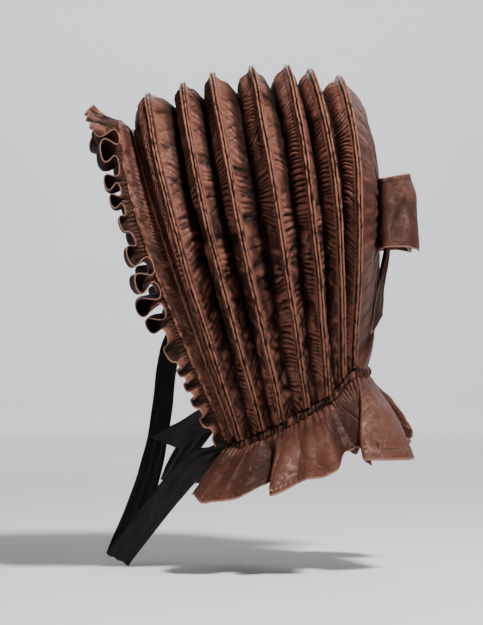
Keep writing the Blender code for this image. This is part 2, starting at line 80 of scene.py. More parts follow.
camera_data = bpy.data.cameras.new("camera")
camera_data.sensor_fit = "VERTICAL"
camera_data.sensor_height = SENSOR_HEIGHT
camera_data.lens = SENSOR_HEIGHT * -CAMERA_PLACE.y / VIEW_HEIGHT
camera_data.clip_start = 0.05
camera = bpy.data.objects.new("camera", camera_data)
camera.location = CAMERA_PLACE
camera.rotation_euler = (math.radians(90), 0.0, 0.0)
bpy.context.scene.collection.objects.link(camera)
bpy.context.scene.camera = camera
print("lens", round(camera_data.lens, 1), "mm")

# %% [markdown]
# ## Soft studio light
# Silk shows its folds by the light that rakes over them. The hoops lean forward, so a
# lamp high above lights the rear flank of every fold and leaves the front flank dark,
# as in the photograph. Weaker lamps keep the dark flanks, the back and the far side
# readable, and one lamp behind the hood lights only the paper, so that the hood stands
# against a pale wall.

# %% Lamps and world
LAMPS = (
    # name, place, aimed at, size across and high, power in watts
    ("key", (0.75, -1.05, 1.65), (0.0, 0.0, -0.10), (0.34, 0.34), 94.0),
    ("front", (-1.5, -1.6, 0.35), (-0.05, 0.0, -0.12), (0.8, 1.0), 2.4),
    ("rear", (1.2, 1.3, 1.0), (0.0, 0.0, -0.10), (0.9, 0.9), 9.0),
    ("far", (-0.3, 2.2, 0.9), (0.0, 0.0, -0.10), (0.9, 0.9), 12.0),
    ("paper", (0.0, 3.0, 1.9), (0.0, 5.4, 0.2), (3.0, 1.2), 95.0),
)

for name, place, aim, (across, high), power in LAMPS:
    lamp_data = bpy.data.lights.new(name, "AREA")
    lamp_data.shape = "RECTANGLE"
    lamp_data.size, lamp_data.size_y = across, high
    lamp_data.energy = power
    lamp = bpy.data.objects.new(name, lamp_data)
    lamp.location = place
    lamp.rotation_euler = (Vector(aim) - Vector(place)).to_track_quat("-Z", "Y").to_euler()
    bpy.context.scene.collection.objects.link(lamp)

world = bpy.data.worlds.new("studio")
world.use_nodes = True
world.node_tree.nodes["Background"].inputs["Color"].default_value = (0.93, 0.95, 1.0, 1.0)
world.node_tree.nodes["Background"].inputs["Strength"].default_value = 0.09
bpy.context.scene.world = world
print("lamps:", [lamp[0] for lamp in LAMPS])

# %% [markdown]
# ## Shader maths
# A cloth's colour and bump are sums and products of patterns. Socket wraps one output
# of a node, so that such a sum reads as arithmetic: each operator adds a Math node.
# Shader holds a material's nodes and adds any other node by its type.


# %% Socket and Shader
class Socket:
    """One number per point of a surface, with Python's operators."""

    def __init__(self, shader, output):
        self.shader, self.output = shader, output

    def math(self, operation, *others):
        return self.shader.node("ShaderNodeMath", {"operation": operation}, self, *others)

    def __add__(self, other):
        return self.math("ADD", other)

    def __sub__(self, other):
        return self.math("SUBTRACT", other)

    def __rsub__(self, other):
        return self.shader.node("ShaderNodeMath", {"operation": "SUBTRACT"}, other, self)

    def __mul__(self, other):
        return self.math("MULTIPLY", other)

    __radd__ = __add__
    __rmul__ = __mul__

    def limited(self):
        return self.shader.node("ShaderNodeClamp", {}, self)

    def step(self, low, high):
        """0 below low, 1 above high, smooth between."""
        return self.shader.node("ShaderNodeMapRange", {"interpolation_type": "SMOOTHSTEP"}, self, low, high)


class Shader:
    """The nodes of one material."""

    def __init__(self, name):
        self.material = bpy.data.materials.new(name)
        self.material.use_nodes = True
        self.nodes = self.material.node_tree.nodes
        self.links = self.material.node_tree.links
        self.surface = self.nodes["Principled BSDF"]

    def connect(self, socket, value):
        if isinstance(value, Socket):
            self.links.new(value.output, socket)
        else:
            socket.default_value = value

    def node(self, kind, settings, *values, output=0, **named):
        """A node of this type: its settings first, then its sockets by place or by name."""
        made = self.nodes.new(kind)
        for setting, value in settings.items():
            setattr(made, setting, value)
        for socket, value in zip(made.inputs, values):
            if value is not None:
                self.connect(socket, value)
        for socket, value in named.items():
            self.connect(made.inputs[socket.replace("_", " ")], value)
        return Socket(self, made.outputs[output])

    def cloth_inputs(self):
        """Place in the object, place on the cloth, and the painted shade: 0 where lit, 1 in a hollow."""
        place = self.node("ShaderNodeTexCoord", {}, output="Object")
        cloth = self.node("ShaderNodeTexCoord", {}, output="UV")
        return place, cloth, self.node("ShaderNodeAttribute", {"attribute_name": "fold"}, output="Fac")

    def ribs(self, cloth, scale, distortion):
        wave = {"wave_type": "BANDS", "bands_direction": "Y"}
        return self.node("ShaderNodeTexWave", wave, Vector=cloth, Scale=scale, Distortion=distortion)

    def noise(self, coordinates, scale, detail=2.0, kind="FBM", stretch=None):
        if stretch:
            coordinates = self.node("ShaderNodeVectorMath", {"operation": "MULTIPLY"}, coordinates, stretch)
        settings = {"noise_type": kind, "normalize": True}
        return self.node("ShaderNodeTexNoise", settings, Vector=coordinates, Scale=scale, Detail=detail)

    def mix(self, factor, first, second):
        made = self.nodes.new("ShaderNodeMix")
        made.data_type = "RGBA"
        for socket, value in ((0, factor), (6, first), (7, second)):
            self.connect(made.inputs[socket], value)
        return Socket(self, made.outputs[2])

    def bump(self, height, distance, under=None):
        named = {"Height": height, "Distance": distance}
        if under:
            named["Normal"] = under
        return self.node("ShaderNodeBump", {}, **named)

    def set(self, **sockets):
        for name, value in sockets.items():
            self.connect(self.surface.inputs[name.replace("_", " ")], value)


print("shader helpers ready")

# %% [markdown]
# ## The silk's finish
# The hood is silk taffeta: a plain weave with fine ribs, crisp and softly shining. Its
# creases have worn pale along their edges. Light and shade are painted into the colour:
# each piece carries a number of painted shade, from 0 on a ridge or a lit flank to 1 in
# a hollow, and the colour goes from a pale lit tone through the dye to a dark painted
# shade as it grows. Weave, slubs and stitches follow the piece's own UV map, in metres,
# so they run along the cloth and not through space.


# %% Silk and ribbon materials
def colour(red, green, blue):
    return (red, green, blue, 1.0)


# Of the three colours, the first paints light on ridges and lit flanks and is also the pale of worn creases.
# The third paints shade in the hollows and colours the stitches.
def silk(name, lit_and_worn, dye, deep, roughness=0.42, crinkle=0.0003, hem=None):
    """Taffeta. hem is how far the stitches lie from the piece's edge, along its V."""
    shader = Shader(name)
    place, cloth, fold = shader.cloth_inputs()
    blotch = shader.noise(place, 22.0, 4.0)
    fine = shader.noise(place, 150.0, 3.0)
    slub = shader.noise(cloth, 1.0, 2.0, stretch=(90.0, 1400.0, 1.0))
    wear = (blotch - 0.5) * 0.9 + (fine - 0.5) * 0.7 + (slub - 0.5) * 0.35
    # Painted light and shade: a pale lit tone where the painted shade is low, the dye between, and a dark
    # painted shade in the hollows. Random wear moves the bounds.
    shade = (fold + wear * 0.30).limited()
    tone = shader.mix(shade.step(0.0, 0.45), lit_and_worn, dye)
    tone = shader.mix(shade.step(0.40, 0.92), tone, deep)
    ribs = shader.ribs(cloth, 520.0, 0.6)
    creases = shader.noise(place, 95.0, 3.0, kind="RIDGED_MULTIFRACTAL")
    shifted = shader.node("ShaderNodeVectorMath", {"operation": "ADD"}, place, shader.noise(place, 60.0, 1.0))
    facets = shader.node(
        "ShaderNodeTexVoronoi", {"feature": "SMOOTH_F1"}, Vector=shifted, Scale=85.0, Smoothness=0.35
    )
    worn = (creases.step(0.62, 0.95) * (1.0 - fold)).limited()
    tone = shader.mix(worn * 0.22, tone, lit_and_worn)
    if hem:
        edge = shader.node("ShaderNodeSeparateXYZ", {}, cloth, output="Y")
        run = shader.node("ShaderNodeSeparateXYZ", {}, cloth, output="X")
        line = 1.0 - (edge - hem).math("ABSOLUTE").step(0.0002, 0.0007)
        dash = (run * (1.0 / 0.0026)).math("FRACT").step(0.35, 0.55)
        stitch = (line * dash).limited()
        rim = 1.0 - edge.step(0.0006, 0.0020)
        # Stitches darken towards the colour that paints the shade.
        tone = shader.mix(stitch * 0.5, tone, deep)
        tone = shader.mix(rim * 0.8, tone, WORN_EDGE)
    height = ribs * 0.10 + slub * 0.25
    normal = shader.bump(creases * 0.6 + facets * 1.0, crinkle)
    normal = shader.bump(height, 0.00012, normal)
    if hem:
        normal = shader.bump(1.0 - stitch, 0.0005, normal)
    shader.set(
        Base_Color=tone,
        Roughness=(roughness + (blotch - 0.5) * 0.20 + fold * 0.12).limited(),
        Normal=normal,
        Sheen_Weight=0.03,
        Sheen_Roughness=0.35,
        Sheen_Tint=(1.0, 0.70, 0.58, 1.0),
        Specular_IOR_Level=0.24,
        Specular_Tint=(1.0, 0.72, 0.60, 1.0),
    )
    return shader.material


def ribbon_silk(name, alpha):
    """Thin black silk, ribbed across, so sheer that light comes through it."""
    shader = Shader(name)
    place, cloth, fold = shader.cloth_inputs()
    dust = shader.noise(place, 60.0, 3.0)
    slub = shader.noise(cloth, 1.0, 2.0, stretch=(60.0, 900.0, 1.0))
    # The ribbon darkens with dust and with painted shade in its hollows.
    shade = (dust * 0.6 + fold * 0.5).limited()
    tone = shader.mix(shade, colour(0.0085, 0.0070, 0.0060), colour(0.0035, 0.0030, 0.0028))
    ribs = shader.ribs(cloth, 420.0, 0.4)
    normal = shader.bump(shader.noise(place, 120.0, 3.0), 0.0004)
    normal = shader.bump(ribs * 0.4 + slub * 0.6, 0.00012, normal)
    shader.set(
        Base_Color=tone,
        Roughness=(0.46 + dust * 0.16).limited(),
        Normal=normal,
        Alpha=alpha,
        Specular_IOR_Level=0.22,
        Specular_Tint=(1.0, 0.90, 0.82, 1.0),
    )
    return shader.material


# Pale colours paint light on ridges and lit flanks and show worn creases. The dye lies between. Dark colours
# paint shade in hollows and colour the stitches.
LIT_AND_WORN, DYE, SHADE_AND_STITCH = colour(0.180, 0.067, 0.045), colour(0.050, 0.0172, 0.0118), colour(0.006, 0.0022, 0.0016)
WORN_EDGE = colour(0.330, 0.160, 0.110)
BOW_LIT_AND_WORN, BOW_DYE = colour(0.088, 0.032, 0.023), colour(0.041, 0.015, 0.0107)
RUFFLE_LIT_AND_WORN, RUFFLE_DYE = colour(0.098, 0.035, 0.024), colour(0.044, 0.016, 0.0112)
RUFFLE_SHADE_AND_STITCH = colour(0.022, 0.0078, 0.0056)
HEM_AT, RUFFLE_HEM_AT = 0.0055, 0.0080

hood_silk = silk("hood_silk", LIT_AND_WORN, DYE, SHADE_AND_STITCH)
# The casing's pale colour paints light on the tops of the cords.
casing_silk = silk("casing_silk", colour(0.270, 0.112, 0.070), DYE, SHADE_AND_STITCH, roughness=0.38)
hemmed_silk = silk("hemmed_silk", LIT_AND_WORN, DYE, SHADE_AND_STITCH, crinkle=0.0004, hem=HEM_AT)
bow_silk = silk("bow_silk", BOW_LIT_AND_WORN, BOW_DYE, SHADE_AND_STITCH, crinkle=0.0002, hem=HEM_AT)
ruffle_silk = silk("curtain_silk", RUFFLE_LIT_AND_WORN, RUFFLE_DYE, RUFFLE_SHADE_AND_STITCH, crinkle=0.0002, hem=RUFFLE_HEM_AT)
black_ribbon = ribbon_silk("ribbon_silk", 0.94)
print("materials:", [material.name for material in bpy.data.materials])

# %% [markdown]
# ## Tools for cloth
# Each piece of silk here is a grid of points. Blender's grid operator gives the faces,
# and the points are then moved to their places, which keeps rows along the cloth and
# columns across it. The folds are drawn by a few smooth helpers: ease for a soft step,
# and wander for gentle irregular hills, because hand-sewn gathers never repeat.


# %% Cloth helpers
def ease(low, high, x):
    t = clamped((np.asarray(x, float) - low) / (high - low))
    return t * t * (3.0 - 2.0 * t)


def fading(low, high, x):
    return 1.0 - ease(low, high, x)


def clamped(x):
    return np.clip(x, 0.0, 1.0)


def unit(vectors):
    return vectors / np.linalg.norm(vectors, axis=-1, keepdims=True)


def wander(x, y, seed):
    """Smooth hills and hollows from -1 to 1, about one to each unit of x and y."""
    table = np.random.default_rng(seed).uniform(-1.0, 1.0, (256, 256))
    x, y = np.broadcast_arrays(np.asarray(x, float), np.asarray(y, float))
    i, j = np.floor(x).astype(int), np.floor(y).astype(int)
    a, b = x - i, y - j
    a, b = a * a * (3 - 2 * a), b * b * (3 - 2 * b)
    i, j, k, m = i % 256, j % 256, (i + 1) % 256, (j + 1) % 256
    low = table[i, j] * (1 - a) + table[k, j] * a
    high = table[i, m] * (1 - a) + table[k, m] * a
    return low * (1 - b) + high * b


def spaced(line, count):
    """count points evenly spaced along a polyline; extra columns are carried along."""
    steps = np.linalg.norm(np.diff(line[:, :3], axis=0), axis=1)
    along = np.concatenate([[0.0], np.cumsum(steps)])
    wanted = np.linspace(0.0, along[-1], count)
    return np.stack([np.interp(wanted, along, column) for column in line.T], axis=1)


def smooth_line(points, count):
    """A curve through listed points, as count evenly spaced points."""
    points = np.asarray(points, float)
    padded = np.vstack([2 * points[0] - points[1], points, 2 * points[-1] - points[-2]])
    line = []
    for before, here, there, after in zip(padded, padded[1:], padded[2:], padded[3:]):
        for t in np.linspace(0.0, 1.0, 24, endpoint=False):
            bend = (there - before) * t + (2 * before - 5 * here + 4 * there - after) * t**2
            line.append(0.5 * (2 * here + bend + (3 * here - before - 3 * there + after) * t**3))
    line.append(points[-1])
    return spaced(np.array(line), count)


def eased_between(wanted, at, values):
    at, values = np.asarray(at), np.asarray(values)
    i = np.clip(np.searchsorted(at, wanted, side="right") - 1, 0, len(at) - 2)
    t = ease(0.0, 1.0, (wanted - at[i]) / (at[i + 1] - at[i]))
    return values[i] + (values[i + 1] - values[i]) * t


def lengths(points, axis):
    """Distance walked from the first row or column, for each point of a grid."""
    steps = np.linalg.norm(np.diff(points, axis=axis), axis=2)
    start = np.zeros_like(np.take(steps, [0], axis=axis))
    return np.cumsum(np.concatenate([start, steps], axis=axis), axis=axis)


def swept(line, *ways):
    """A grid of points: the line, moved each way by that way's distance at each point."""
    points = line[:, None]
    for way, distance in ways:
        points = points + way[:, None] * distance[..., None]
    return points


def placed(name, mesh, material, node):
    """A smooth object on the hood's body, which stands for a node of the CAD model."""
    mesh.shade_smooth()
    obj = bpy.data.objects.new(name, mesh)
    bpy.context.scene.collection.objects.link(obj)
    obj.data.materials.append(material)
    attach(obj, "root")
    if node:
        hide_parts(node)
    print(f"{name}: {len(mesh.vertices)} points, {len(mesh.polygons)} faces")
    return obj


def cloth_piece(
    name, points, material, fold, uv=None, node=None,
    wall=None, offset=-1.0, joined=False, capped=False,
):
    """A sheet through points (rows, columns, 3), with UVs in metres and its number of painted shade.

    joined merges the seam where a grid meets itself, and capped also fills the ends.
    """
    rows, columns, _ = points.shape
    bm = bmesh.new()
    bmesh.ops.create_grid(bm, x_segments=columns - 1, y_segments=rows - 1, size=1.0)
    mesh = bpy.data.meshes.new(name)
    bm.to_mesh(mesh)
    bm.free()
    mesh.vertices.foreach_set("co", points.reshape(-1))
    if uv is None:
        uv = np.stack([lengths(points, 1), lengths(points, 0)], axis=2)
    corner = np.empty(len(mesh.loops), int)
    mesh.loops.foreach_get("vertex_index", corner)
    layer = mesh.uv_layers.new(name="cloth")
    layer.data.foreach_set("uv", uv.reshape(-1, 2)[corner].reshape(-1))
    shade = mesh.attributes.new("fold", "FLOAT", "POINT")
    shade.data.foreach_set("value", np.broadcast_to(fold, points.shape[:2]).reshape(-1).astype(np.float32))
    if joined or capped:
        bm = bmesh.new()
        bm.from_mesh(mesh)
        bmesh.ops.remove_doubles(bm, verts=bm.verts, dist=1e-5)
        if capped:
            bmesh.ops.holes_fill(bm, edges=bm.edges)
        bm.to_mesh(mesh)
        bm.free()
    mesh.update()
    obj = placed(name, mesh, material, node)
    if wall:
        thick = obj.modifiers.new("wall", "SOLIDIFY")
        thick.thickness, thick.offset = wall, offset
    return obj


# %% [markdown]
# ## The arches
# The canes are the bones of the hood. Each row of the table is one arch, front to back,
# with the numbers the CAD part uses, so the silk lands where its solids are. An arch is
# a curve from the near foot over the crown to the far foot, read here at many more
# points than the CAD needs, because the gathers between two arches are only a few
# millimetres wide.

# %% Arches
HOOD_LENGTH, CROWN_RISE, NECK_DROP = 0.250, 0.097, 0.291
HOOD_WIDTH, NECK_WIDTH = 0.280, 0.140
FOLD_DEPTH, FOOT_FOLD = 0.023, 0.005
CASING_WIDTH, CANE_RADIUS, THIN_CANE_RADIUS = 0.0058, 0.0019, 0.0013
SEAT, HEM_SEAT = 0.0003, 0.0015
WIDEST, ROUNDNESS, TAPER = 0.46, 2.25, 1.7
ALONG = 340  # points along each arch

ARCH_TABLE = (
    # crest_x, crest_z, foot_x, foot_z, bow, spread, foot_spread
    ("brim_edge", -0.520, 0.397, -0.078, 0.997, -0.068, 0.84, 0.87),
    ("front_cane", -0.466, 0.300, -0.053, 0.986, -0.016, 0.80, 0.88),
    ("hoop_1", -0.410, 0.687, -0.020, 1.000, -0.036, 0.92, 0.91),
    ("hoop_2", -0.262, 0.804, 0.071, 0.965, -0.034, 0.96, 0.96),
    ("hoop_3", -0.139, 0.911, 0.154, 0.934, -0.018, 0.985, 0.99),
    ("hoop_4", 0.025, 0.987, 0.255, 0.885, 0.006, 1.00, 0.99),
    ("hoop_5", 0.173, 0.997, 0.343, 0.843, 0.022, 0.985, 0.94),
    ("hoop_6", 0.270, 0.955, 0.410, 0.778, 0.044, 0.945, 0.83),
    ("hoop_7", 0.393, 0.879, 0.454, 0.745, 0.048, 0.885, 0.71),
)


class Arch:
    """One arch: points on top of its cane, and the directions along, across and outward."""

    def __init__(self, name, crest_x, crest_z, foot_x, foot_z, bow, spread, foot_spread):
        self.name = name
        half_width, foot_width = spread * HOOD_WIDTH / 2, foot_spread * NECK_WIDTH / 2
        turn = np.linspace(0.0, math.pi / 2, 240)
        lower = np.linspace(WIDEST, 1.0, 240)[1:]
        taper = ((lower - WIDEST) / (1.0 - WIDEST)) ** TAPER
        share = np.concatenate([WIDEST * (1.0 - np.cos(turn) ** (2 / ROUNDNESS)), lower])
        above = half_width * np.sin(turn) ** (2 / ROUNDNESS)
        below = half_width - (half_width - foot_width) * taper
        width = np.concatenate([above, below])
        bend = 4.7 * bow * HOOD_LENGTH * share * (1.0 - share) ** 1.5
        x = HOOD_LENGTH * (crest_x + (foot_x - crest_x) * share) + bend
        z = crest_z * CROWN_RISE - (foot_z * NECK_DROP + crest_z * CROWN_RISE) * share
        half = np.stack([x, -width, z, share], axis=1)
        mirrored = half[1:] * np.array([1.0, -1.0, 1.0, 1.0])
        line = spaced(np.concatenate([half[::-1], mirrored]), ALONG)
        self.points, self.share = line[:, :3], line[:, 3]
        self.along = unit(np.gradient(self.points, axis=0))
        self.length = np.linalg.norm(np.diff(self.points, axis=0), axis=1).sum()
        self.radius = {"brim_edge": 0.0, "front_cane": THIN_CANE_RADIUS}.get(name, CANE_RADIUS)

    def set_directions(self, before, after):
        across = after.points - before.points
        across = across - (across * self.along).sum(axis=1, keepdims=True) * self.along
        self.across = unit(across)
        self.outward = unit(np.cross(self.across, self.along))

    def casing(self):
        """The edges of the strip of silk under the cane or canes."""
        rise = 2 * self.radius + SEAT if self.radius else 0.0
        base = self.points - self.outward * rise
        if not self.radius:
            return [base]
        half = CASING_WIDTH / 2 if self.radius == CANE_RADIUS else THIN_CANE_RADIUS + SEAT
        return [base - self.across * half, base + self.across * half]


arches = [Arch(*row) for row in ARCH_TABLE]
for i, arch in enumerate(arches):
    arch.set_directions(arches[max(i - 1, 0)], arches[min(i + 1, len(arches) - 1)])

for arch in arches[1:]:
    off = arch.points[:, 2].max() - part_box(arch.name)[1][2]
    print(arch.name, f"{arch.length * 1000:.0f} mm long, crest off its solid by {off * 1000:.1f} mm")

# %% [markdown]
# ## The silk cover
# Between two arches the silk falls inwards and makes one fold of the bellows: a long
# flank behind the front hoop, a crease, and a flank up to the next hoop. The silk was
# cut longer than the hoops and gathered onto them. Its spare length lies in four kinds
# of wrinkle: long rounded creases that run slantwise from a casing down into the fold,
# small puckers beside the stitching, crumples lower down, and a few straight sharp lines.
# A bump texture would vanish against the skyline, so all four are real shape. Each gap
# between two arches is a gore of its own, with rows little more than a millimetre apart.

# %% Fold between two arches
CREASE_AT = 0.57
SILK_WALL = 0.0006
ROW_STEP = 0.00135
TUCK = 0.005  # how far the silk runs down into the neck casing
LONG_SPACING = (0.0080, 0.0056)  # behind a hoop, and in front of the next
BEHIND_HEIGHT, BEFORE_HEIGHT = 0.0011, 0.0019
PUCKER_HEIGHT, CRUMPLE_HEIGHT, BILLOW_HEIGHT = 0.0011, 0.0026, 0.0016
LINE_HEIGHT = (-0.0026, 0.0022)  # the straight lines sink in behind a hoop and stand up before the next


def resampled(values, count):
    at = np.linspace(0.0, 1.0, count)
    return np.stack([np.interp(at, np.linspace(0.0, 1.0, len(values)), column) for column in values.T], axis=1)


def fold_depth(share):
    fade = ease(0.62, 1.0, share)
    return FOLD_DEPTH * (1.0 - fade) + FOOT_FOLD * fade


def neck_height(x):
    feet = np.array([arch.points[0] for arch in arches])
    return np.interp(x, feet[:, 0], feet[:, 2])


def pinched(x, y, seed, sharp=5.0):
    """Thin lines that wander over the cloth, from 0 beside them to 1 on them."""
    return (1.0 - np.abs(wander(x, y, seed))) ** sharp


def puffs(phase):
    """Round ridges with a sharp line between them, from -1 in the lines to 1."""
    return 2.0 * np.abs(np.sin(math.pi * phase)) - 1.0


def gore(index, columns):
    """The silk between one arch and the next: its points and how deep each one lies."""
    arch, behind = arches[index], arches[index + 1]
    count = int((arch.length + behind.length) / 2 / ROW_STEP)
    start, end = resampled(arch.casing()[-1], count), resampled(behind.casing()[0], count)
    first, second = (unit(resampled(place.outward, count))[:, None] for place in (arch, behind))
    share = resampled(((arch.share + behind.share) / 2)[:, None], count)
    gap = np.linalg.norm(end - start, axis=1)[:, None]
    t = np.linspace(0.0, 1.0, columns)[None, :]
    outward = unit(first * (1.0 - t[..., None]) + second * t[..., None])
    run = np.linspace(0.0, arch.length, count)[:, None]
    from_crown = np.abs(run - arch.length / 2)
    downhill = np.sign(run - arch.length / 2) + (run == arch.length / 2)

    crease = CREASE_AT + 0.035 * wander(run / 0.045, 0.0, index) + 0.015 * wander(run / 0.012, 0.0, index + 9)
    ahead = t < crease
    q = np.where(ahead, t / crease, (1.0 - t) / (1.0 - crease))
    lip = 0.20 * ease(0.0, 0.14, q)
    deep = np.where(ahead, lip + 0.36 * q + 0.44 * ease(0.40, 0.95, q), lip + 0.38 * q + 0.42 * q**4)
    depth = fold_depth(share)
    if behind.name == "front_cane":
        drop, deep, plain = -0.0015 * np.sin(math.pi * t), np.full_like(t, 0.25), 0.6
    elif arch.name == "front_cane":
        drop, deep, plain = -depth * 0.26 * np.sin(math.pi * t**0.8), 0.45 * (1.0 - t) + 0.1, 0.8
    else:
        drop, plain = depth * deep * (1.0 + 0.08 * wander(run / 0.05, 0.5, index + 40)), 1.0

    # Near the crown the creases run down into the fold; further down they turn about.
    slope = 0.95 - 1.5 * ease(0.12, 0.26, from_crown) + 0.75 * wander(run / 0.07, ahead * 3.0, index + 20)
    slide = downhill * slope * q * gap * 0.62
    walk = run - slide + 0.0025 * wander(run / 0.02, q * 1.5, index + 60)
    crown = 1.0 - ease(0.16, 0.30, from_crown)
    patches = wander(walk / 0.030, ahead * 5.0 + q * 0.4, index + 80) + np.where(ahead, -0.55, 0.80) * crown
    patches = ease(-0.35, 0.45, patches)
    spacing = np.where(ahead, *LONG_SPACING)
    long = puffs(walk / spacing + 0.55 * wander(walk / 0.016, ahead * 2.0, index + 100)) * patches
    long = long * np.where(ahead, BEHIND_HEIGHT, BEFORE_HEIGHT + 0.0005 * crown)
    reach = ease(0.0, 0.10, q) * (1.0 - 0.55 * ease(0.75, 1.0, q))
    tight = ease(-0.2, 0.5, wander(run / 0.030, ahead * 7.0, index + 120)) * (1.0 - 0.6 * crown * ahead)
    small = np.abs(wander(walk / 0.0060, q * 1.8 + ahead * 3.0, index + 140))
    small = small + 0.6 * np.abs(wander(run / 0.0033, q * 3.2, index + 150))
    crumple = np.abs(wander(run / 0.011 + 1.1 * q, q * 1.5 + ahead * 5.0, index + 155)) - 0.4
    straight = pinched(walk / 0.020, q * 0.30 + ahead * 4.0, index + 160, 14.0)
    straight = straight + 0.8 * pinched(run / 0.013 - q * 0.9, q * 0.4, index + 170, 16.0)
    wrinkle = long * reach + PUCKER_HEIGHT * (small - 0.6) * tight * ease(0.0, 0.08, q)
    wrinkle = wrinkle + CRUMPLE_HEIGHT * crumple * (1.0 - 0.85 * crown) * reach
    wrinkle = wrinkle + np.where(ahead, *LINE_HEIGHT) * straight * reach
    wrinkle = wrinkle * plain * np.clip(gap / 0.022, 0.35, 1.0)
    billow = BILLOW_HEIGHT * wander(run / 0.032, q * 1.1 + ahead * 2.0, index + 180) * reach * plain
    flat = start[:, None] + (end - start)[:, None] * t[..., None]
    points = flat - outward * (drop - wrinkle - billow)[..., None]
    # Painted light on the flank behind each hoop near the crown, painted shade deeper in the fold, and painted
    # highlights on the wrinkle crests.
    lit = 0.26 * ahead * (0.10 + 0.90 * crown) * fading(0.34, 0.58, q)
    shade = clamped(0.95 * deep * np.clip(depth / FOLD_DEPTH, 0.6, 1.0) + 0.14 - lit - wrinkle / 0.0030)

    # The lower edge is slid along the silk to the line of the neck.
    for foot, inner in ((0, 12), (-1, -13)):
        step = points[inner] - points[foot]
        short = neck_height(points[foot, :, 0]) - TUCK - points[foot, :, 2]
        move = step * (short / step[:, 2])[:, None]
        for row in range(12):
            points[row if foot == 0 else -1 - row] += move * (1.0 - row / 12.0)
    # Under the casings a gore reaches half way over, where it meets the next one.
    for column, place, side in ((0, arch, 1.0), (-1, behind, -1.0)):
        if place.radius:
            middle = resampled(place.points - place.outward * (2 * place.radius + SEAT + 0.0004), count)
            middle[[0, -1]] = points[[0, -1], column]
            points = np.insert(points, 0 if column == 0 else points.shape[1], middle, axis=1)
            # The silk under a casing is painted in shade.
            shade = np.insert(shade, 0 if column == 0 else shade.shape[1], 0.8, axis=1)
    return points, shade


gores = []
for i, columns in enumerate((7, 17, 19, 19, 19, 19, 17, 19)):
    points, shade = gore(i, columns)
    node = "hood_cover" if i == 2 else None
    name = f"silk_gore_{i + 1}"
    gores.append(cloth_piece(name, points[:, ::-1], hood_silk, shade[:, ::-1], node=node, wall=SILK_WALL))

# %% [markdown]
# ## The hoops in their casings
# Each hoop is a pair of canes side by side in a channel of silk, stitched down between
# them, so a ridge shows two cords with a dark line in the middle. The channel was
# gathered along the cane, which gives its fine cross puckers. A plain pipe would look
# like wire: the section here has two humps, a stitched groove and a skirt at each side,
# and it is carried along the arch by a grid whose last row closes onto its first.

# %% Casings
CORD_SECTION = 17


def casing_section(arch):
    """Places round the closed section: across and upwards, in metres, and how much painted shade each gets,
    most underneath.
    """
    s = np.linspace(-1.0, 1.0, CORD_SECTION)
    if arch.radius == CANE_RADIUS:
        half, top = CASING_WIDTH / 2, 2 * CANE_RADIUS
        hump = np.sqrt(clamped(1.0 - ((np.abs(s) - 0.52) / 0.50) ** 2))
        up = top * (0.06 + 0.96 * hump)
    else:
        half, top = THIN_CANE_RADIUS + SEAT, 2 * THIN_CANE_RADIUS
        up = top * (0.2 + 0.85 * np.sqrt(clamped(1.0 - s**2)))
    up[[0, -1]] = 0.12 * top
    across = s * half * 1.08
    under = np.array([[0.7 * half, -0.0002], [0.0, -0.0003], [-0.7 * half, -0.0002]])
    ring = np.concatenate([np.stack([across, up], axis=1), under])
    underside_shade = np.concatenate([1.0 - up / up.max(), [1.0, 1.0, 1.0]])
    return np.concatenate([ring, ring[:1]]), np.concatenate([underside_shade, underside_shade[:1]])


def make_casing(arch, seed):
    ring, underside_shade = casing_section(arch)
    count = int(arch.length / 0.0018)
    across, outward = (unit(resampled(values, count)) for values in (arch.across, arch.outward))
    run = (np.linspace(0.0, 1.0, count) * arch.length)[:, None]
    base = resampled(arch.points, count) - outward * 2 * arch.radius
    around = np.arange(len(ring))[None, :] * 0.35
    pucker = wander(run / 0.0026, around, seed) * 0.00032
    pucker = pucker + wander(run / 0.0065, around * 0.5, seed + 1) * 0.00028
    pucker = pucker * (ring[:, 1] > 0.0001)
    sway = wander(run / 0.045, 0.0, seed + 2) * 0.0006
    side = ring[:, 0] * (1.0 + 0.08 * wander(run / 0.012, 0.0, seed + 3)) + sway
    up = ring[:, 1] + pucker
    grid = swept(base, (across, side), (outward, up))
    grid[:, -1] = grid[:, 0]
    # Painted shade underneath and in the puckers' hollows, painted light on the tops of the cords.
    shade = clamped(underside_shade - pucker / 0.0009)
    cloth_piece(
        arch.name + "_casing", grid, casing_silk, shade, node=arch.name, capped=True
    )


for i, arch in enumerate(arches[1:]):
    make_casing(arch, 300 + 10 * i)

# %% [markdown]
# ## The back panel
# Behind the last hoop a round piece of silk closes the hood. Its edge is sewn to the
# hoop and the nape, and its middle is drawn together under the bow, so the fullness
# lies in rays. The grid runs round the rim and in to the middle, and the depth of the
# rays changes with both: small pleats meet at the middle and open into soft puffs.

# %% Back panel
BACK_BULGE, NAPE_BULGE, BOW_LEVEL = 0.019, 0.009, 0.49
BACK_PLEATS = 46
RIM_TUCK = 0.0014  # how far the panel runs under the last casing


def neck_line(count):
    """The drawn neckline, from the near front corner round the nape to the far one."""
    inset = CANE_RADIUS * 2 + SEAT + FOOT_FOLD / 2
    feet = np.array([arch.points[0] for arch in arches])
    under = feet - np.array([arch.outward[0] for arch in arches]) * inset
    near = np.stack([feet[:, 0], np.interp(feet[:, 0], under[:, 0], under[:, 1]), feet[:, 2]], axis=1)
    turn = np.linspace(0.0, math.pi, 14)[1:-1]
    last = near[-1]
    nape = [
        last[0] + CASING_WIDTH / 2 + NAPE_BULGE * np.sin(turn),
        last[1] * np.cos(turn),
        np.full(len(turn), last[2]),
    ]
    far = near[::-1] * np.array([1.0, -1.0, 1.0])
    return spaced(np.concatenate([near, np.stack(nape, axis=1), far]), count)


